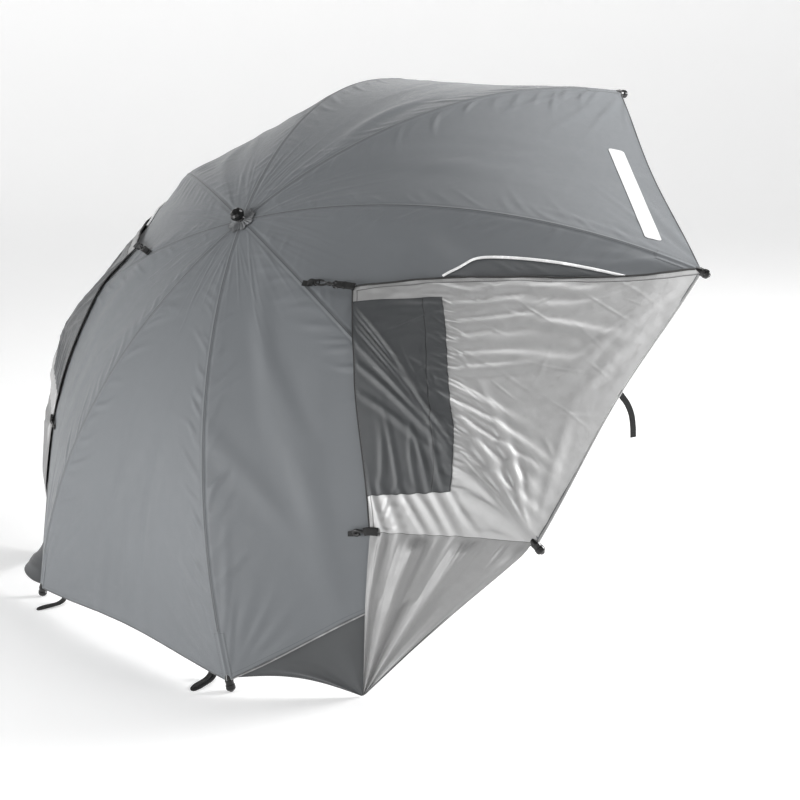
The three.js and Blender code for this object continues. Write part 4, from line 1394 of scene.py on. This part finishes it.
def peg_loop(side, mirrored):
    """A webbing loop for a peg, and the tab that sews it to the hem, on the ground behind."""
    low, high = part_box("peg_loop_right")
    turn = math.radians(12)
    way = np.array([-math.sin(turn), math.cos(turn), 0])
    square = np.array([math.cos(turn), math.sin(turn), 0])
    base = np.array([(low[0] + high[0]) / 2, (low[1] + high[1]) / 2, 0.0]) - way * 0.031
    outline = [(-0.030, -0.006, 0.030), (-0.024, -0.006, 0.012), (-0.006, -0.006, 0.0035),
               (0.016, -0.0065, 0.0022), (0.040, -0.007, 0.0022), (0.056, -0.004, 0.0022),
               (0.060, 0.000, 0.0024), (0.056, 0.004, 0.0040), (0.040, 0.007, 0.0050),
               (0.016, 0.0065, 0.0056), (-0.006, 0.006, 0.0070), (-0.024, 0.006, 0.015),
               (-0.030, 0.006, 0.032)]
    path = [base + way * a + square * b + np.array([0, 0, c + 0.0012]) for a, b, c in outline]
    rib = rib_on(side, 8)
    strap(f"peg_loop_{side}_webbing", curve_through(path, 6), (0.020, 0.0022), (0.0, 0.35, 1.0),
          f"rib_outer_{rib}", rib, mirrored, "laid", f"skirt_{side}_cloth", f"peg_loop_{side}")


def tie_strap(side, mirrored):
    """A loose webbing tie that hangs from the rim of the side panel."""
    turn = math.radians(270 - 1.0)
    out = float(rim_reach(np.array(turn), 0.004))
    top = on_cover((out * math.sin(turn), out * math.cos(turn)), -0.004)
    path = top + np.array([(0.012, 0.0, 0.024), (0.0, 0.0, 0.006), (-0.008, -0.006, -0.010),
                           (-0.020, -0.018, -0.034), (-0.029, -0.028, -0.066),
                           (-0.033, -0.032, -0.102), (-0.034, -0.034, -0.134)])
    rib = rib_on(side, 7)
    strap(f"tie_strap_{side}", curve_through(path, 7), (0.019, 0.0022), (-1.0, 0.45, 0.25),
          f"rib_outer_{rib}", rib, mirrored, "hung", f"cover_outer_{rib}")


def hem_line(rib):
    """The rolled hem of the cover, on one rib's share of the rim."""
    share = np.linspace(-1, 1, 60)
    turn = rib_turn(rib) + share * (HALF_STEP - 0.0004)
    out = rim_reach(turn, 0.001)
    keep = out * np.cos(turn - rib_turn(rib)) < RIM
    line = np.stack([out * np.sin(turn), out * np.cos(turn)], -1)[keep]
    part = piped(on_cloth(line.T, -0.0004), 0.0042, 0.0036, power=0.9)
    fitting(f"cover_hem_{rib}", part, hem_cloth, f"rib_outer_{rib}", "cover_cloth", rib)


# ---- Camera, floor and light ----

def camera():
    data = bpy.data.cameras.new("camera")
    data.lens = 65.33
    data.sensor_width = 36
    made = bpy.data.objects.new("camera", data)
    bpy.context.collection.objects.link(made)
    made.location = (-3.5741, 3.2844, 1.9405)
    made.rotation_euler = Vector((0.6778, -0.6865, -0.2634)).to_track_quat("-Z", "Y").to_euler()
    bpy.context.scene.camera = made


def floor():
    material = Graph("pale_floor").finish(base_color=grey(0.84), roughness=0.75,
                                          emission_color=(1, 1, 1, 1), emission_strength=0.30)
    reach, turn_up, high = 9.0, 2.5, 7.0
    profile = [(0.01, 0.0), (reach, 0.0)]
    profile += [(reach + turn_up * math.sin(a), turn_up * (1 - math.cos(a)))
                for a in np.linspace(0.15, math.pi / 2, 10)]
    profile += [(reach + turn_up, high)]
    sides = 96
    vertices = [(r * math.cos(2 * math.pi * i / sides), r * math.sin(2 * math.pi * i / sides), z)
                for r, z in profile for i in range(sides)]
    faces = [(k * sides + i, k * sides + (i + 1) % sides, (k + 1) * sides + (i + 1) % sides,
              (k + 1) * sides + i) for k in range(len(profile) - 1) for i in range(sides)]
    faces.append(tuple(range(sides)))
    solid("floor", (vertices, faces), material)


def area_light(name, place, target, size, power):
    data = bpy.data.lights.new(name, "AREA")
    data.shape = "RECTANGLE"
    data.size, data.size_y = size
    data.energy = power
    made = bpy.data.objects.new(name, data)
    bpy.context.collection.objects.link(made)
    made.location = place
    aim = Vector(target) - Vector(place)
    made.rotation_euler = aim.to_track_quat("-Z", "Y").to_euler()


def lights():
    world = bpy.data.worlds.new("studio")
    world.use_nodes = True
    world.node_tree.nodes["Background"].inputs["Color"].default_value = (1, 1, 1, 1)
    world.node_tree.nodes["Background"].inputs["Strength"].default_value = 0.18
    bpy.context.scene.world = world
    area_light("key", (1.5, 5.2, 1.05), (0, 0, 0.6), (2.4, 1.5), 172)
    area_light("top", (-1.2, -2.1, 5.2), (0, 0, 0.7), (3.0, 3.0), 140)
    area_light("side", (-3.9, -4.3, 2.6), (-0.3, -0.2, 0.9), (1.6, 2.0), 400)


bpy.context.scene.view_settings.view_transform = "Standard"
camera()
floor()
lights()
cover()
for make in (wing, wing_edges, window_patch, wing_foot, skirt, vent, upper_clip, lower_clip,
             peg_loop, tie_strap):
    both_sides(make)
label()
rosette()
for number in range(1, RIBS + 1):
    tip_cap(number)
    tip_pocket(number)
    rib_ties(number)
    rivets(number)
    hem_line(number)
for title, look in CAD_LOOKS.items():
    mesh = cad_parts[title].data
    mesh.materials.clear()
    mesh.materials.append(look)
    mesh.shade_smooth()
    mesh.set_sharp_from_angle(angle=math.radians(CAD_SHARP_ANGLE))
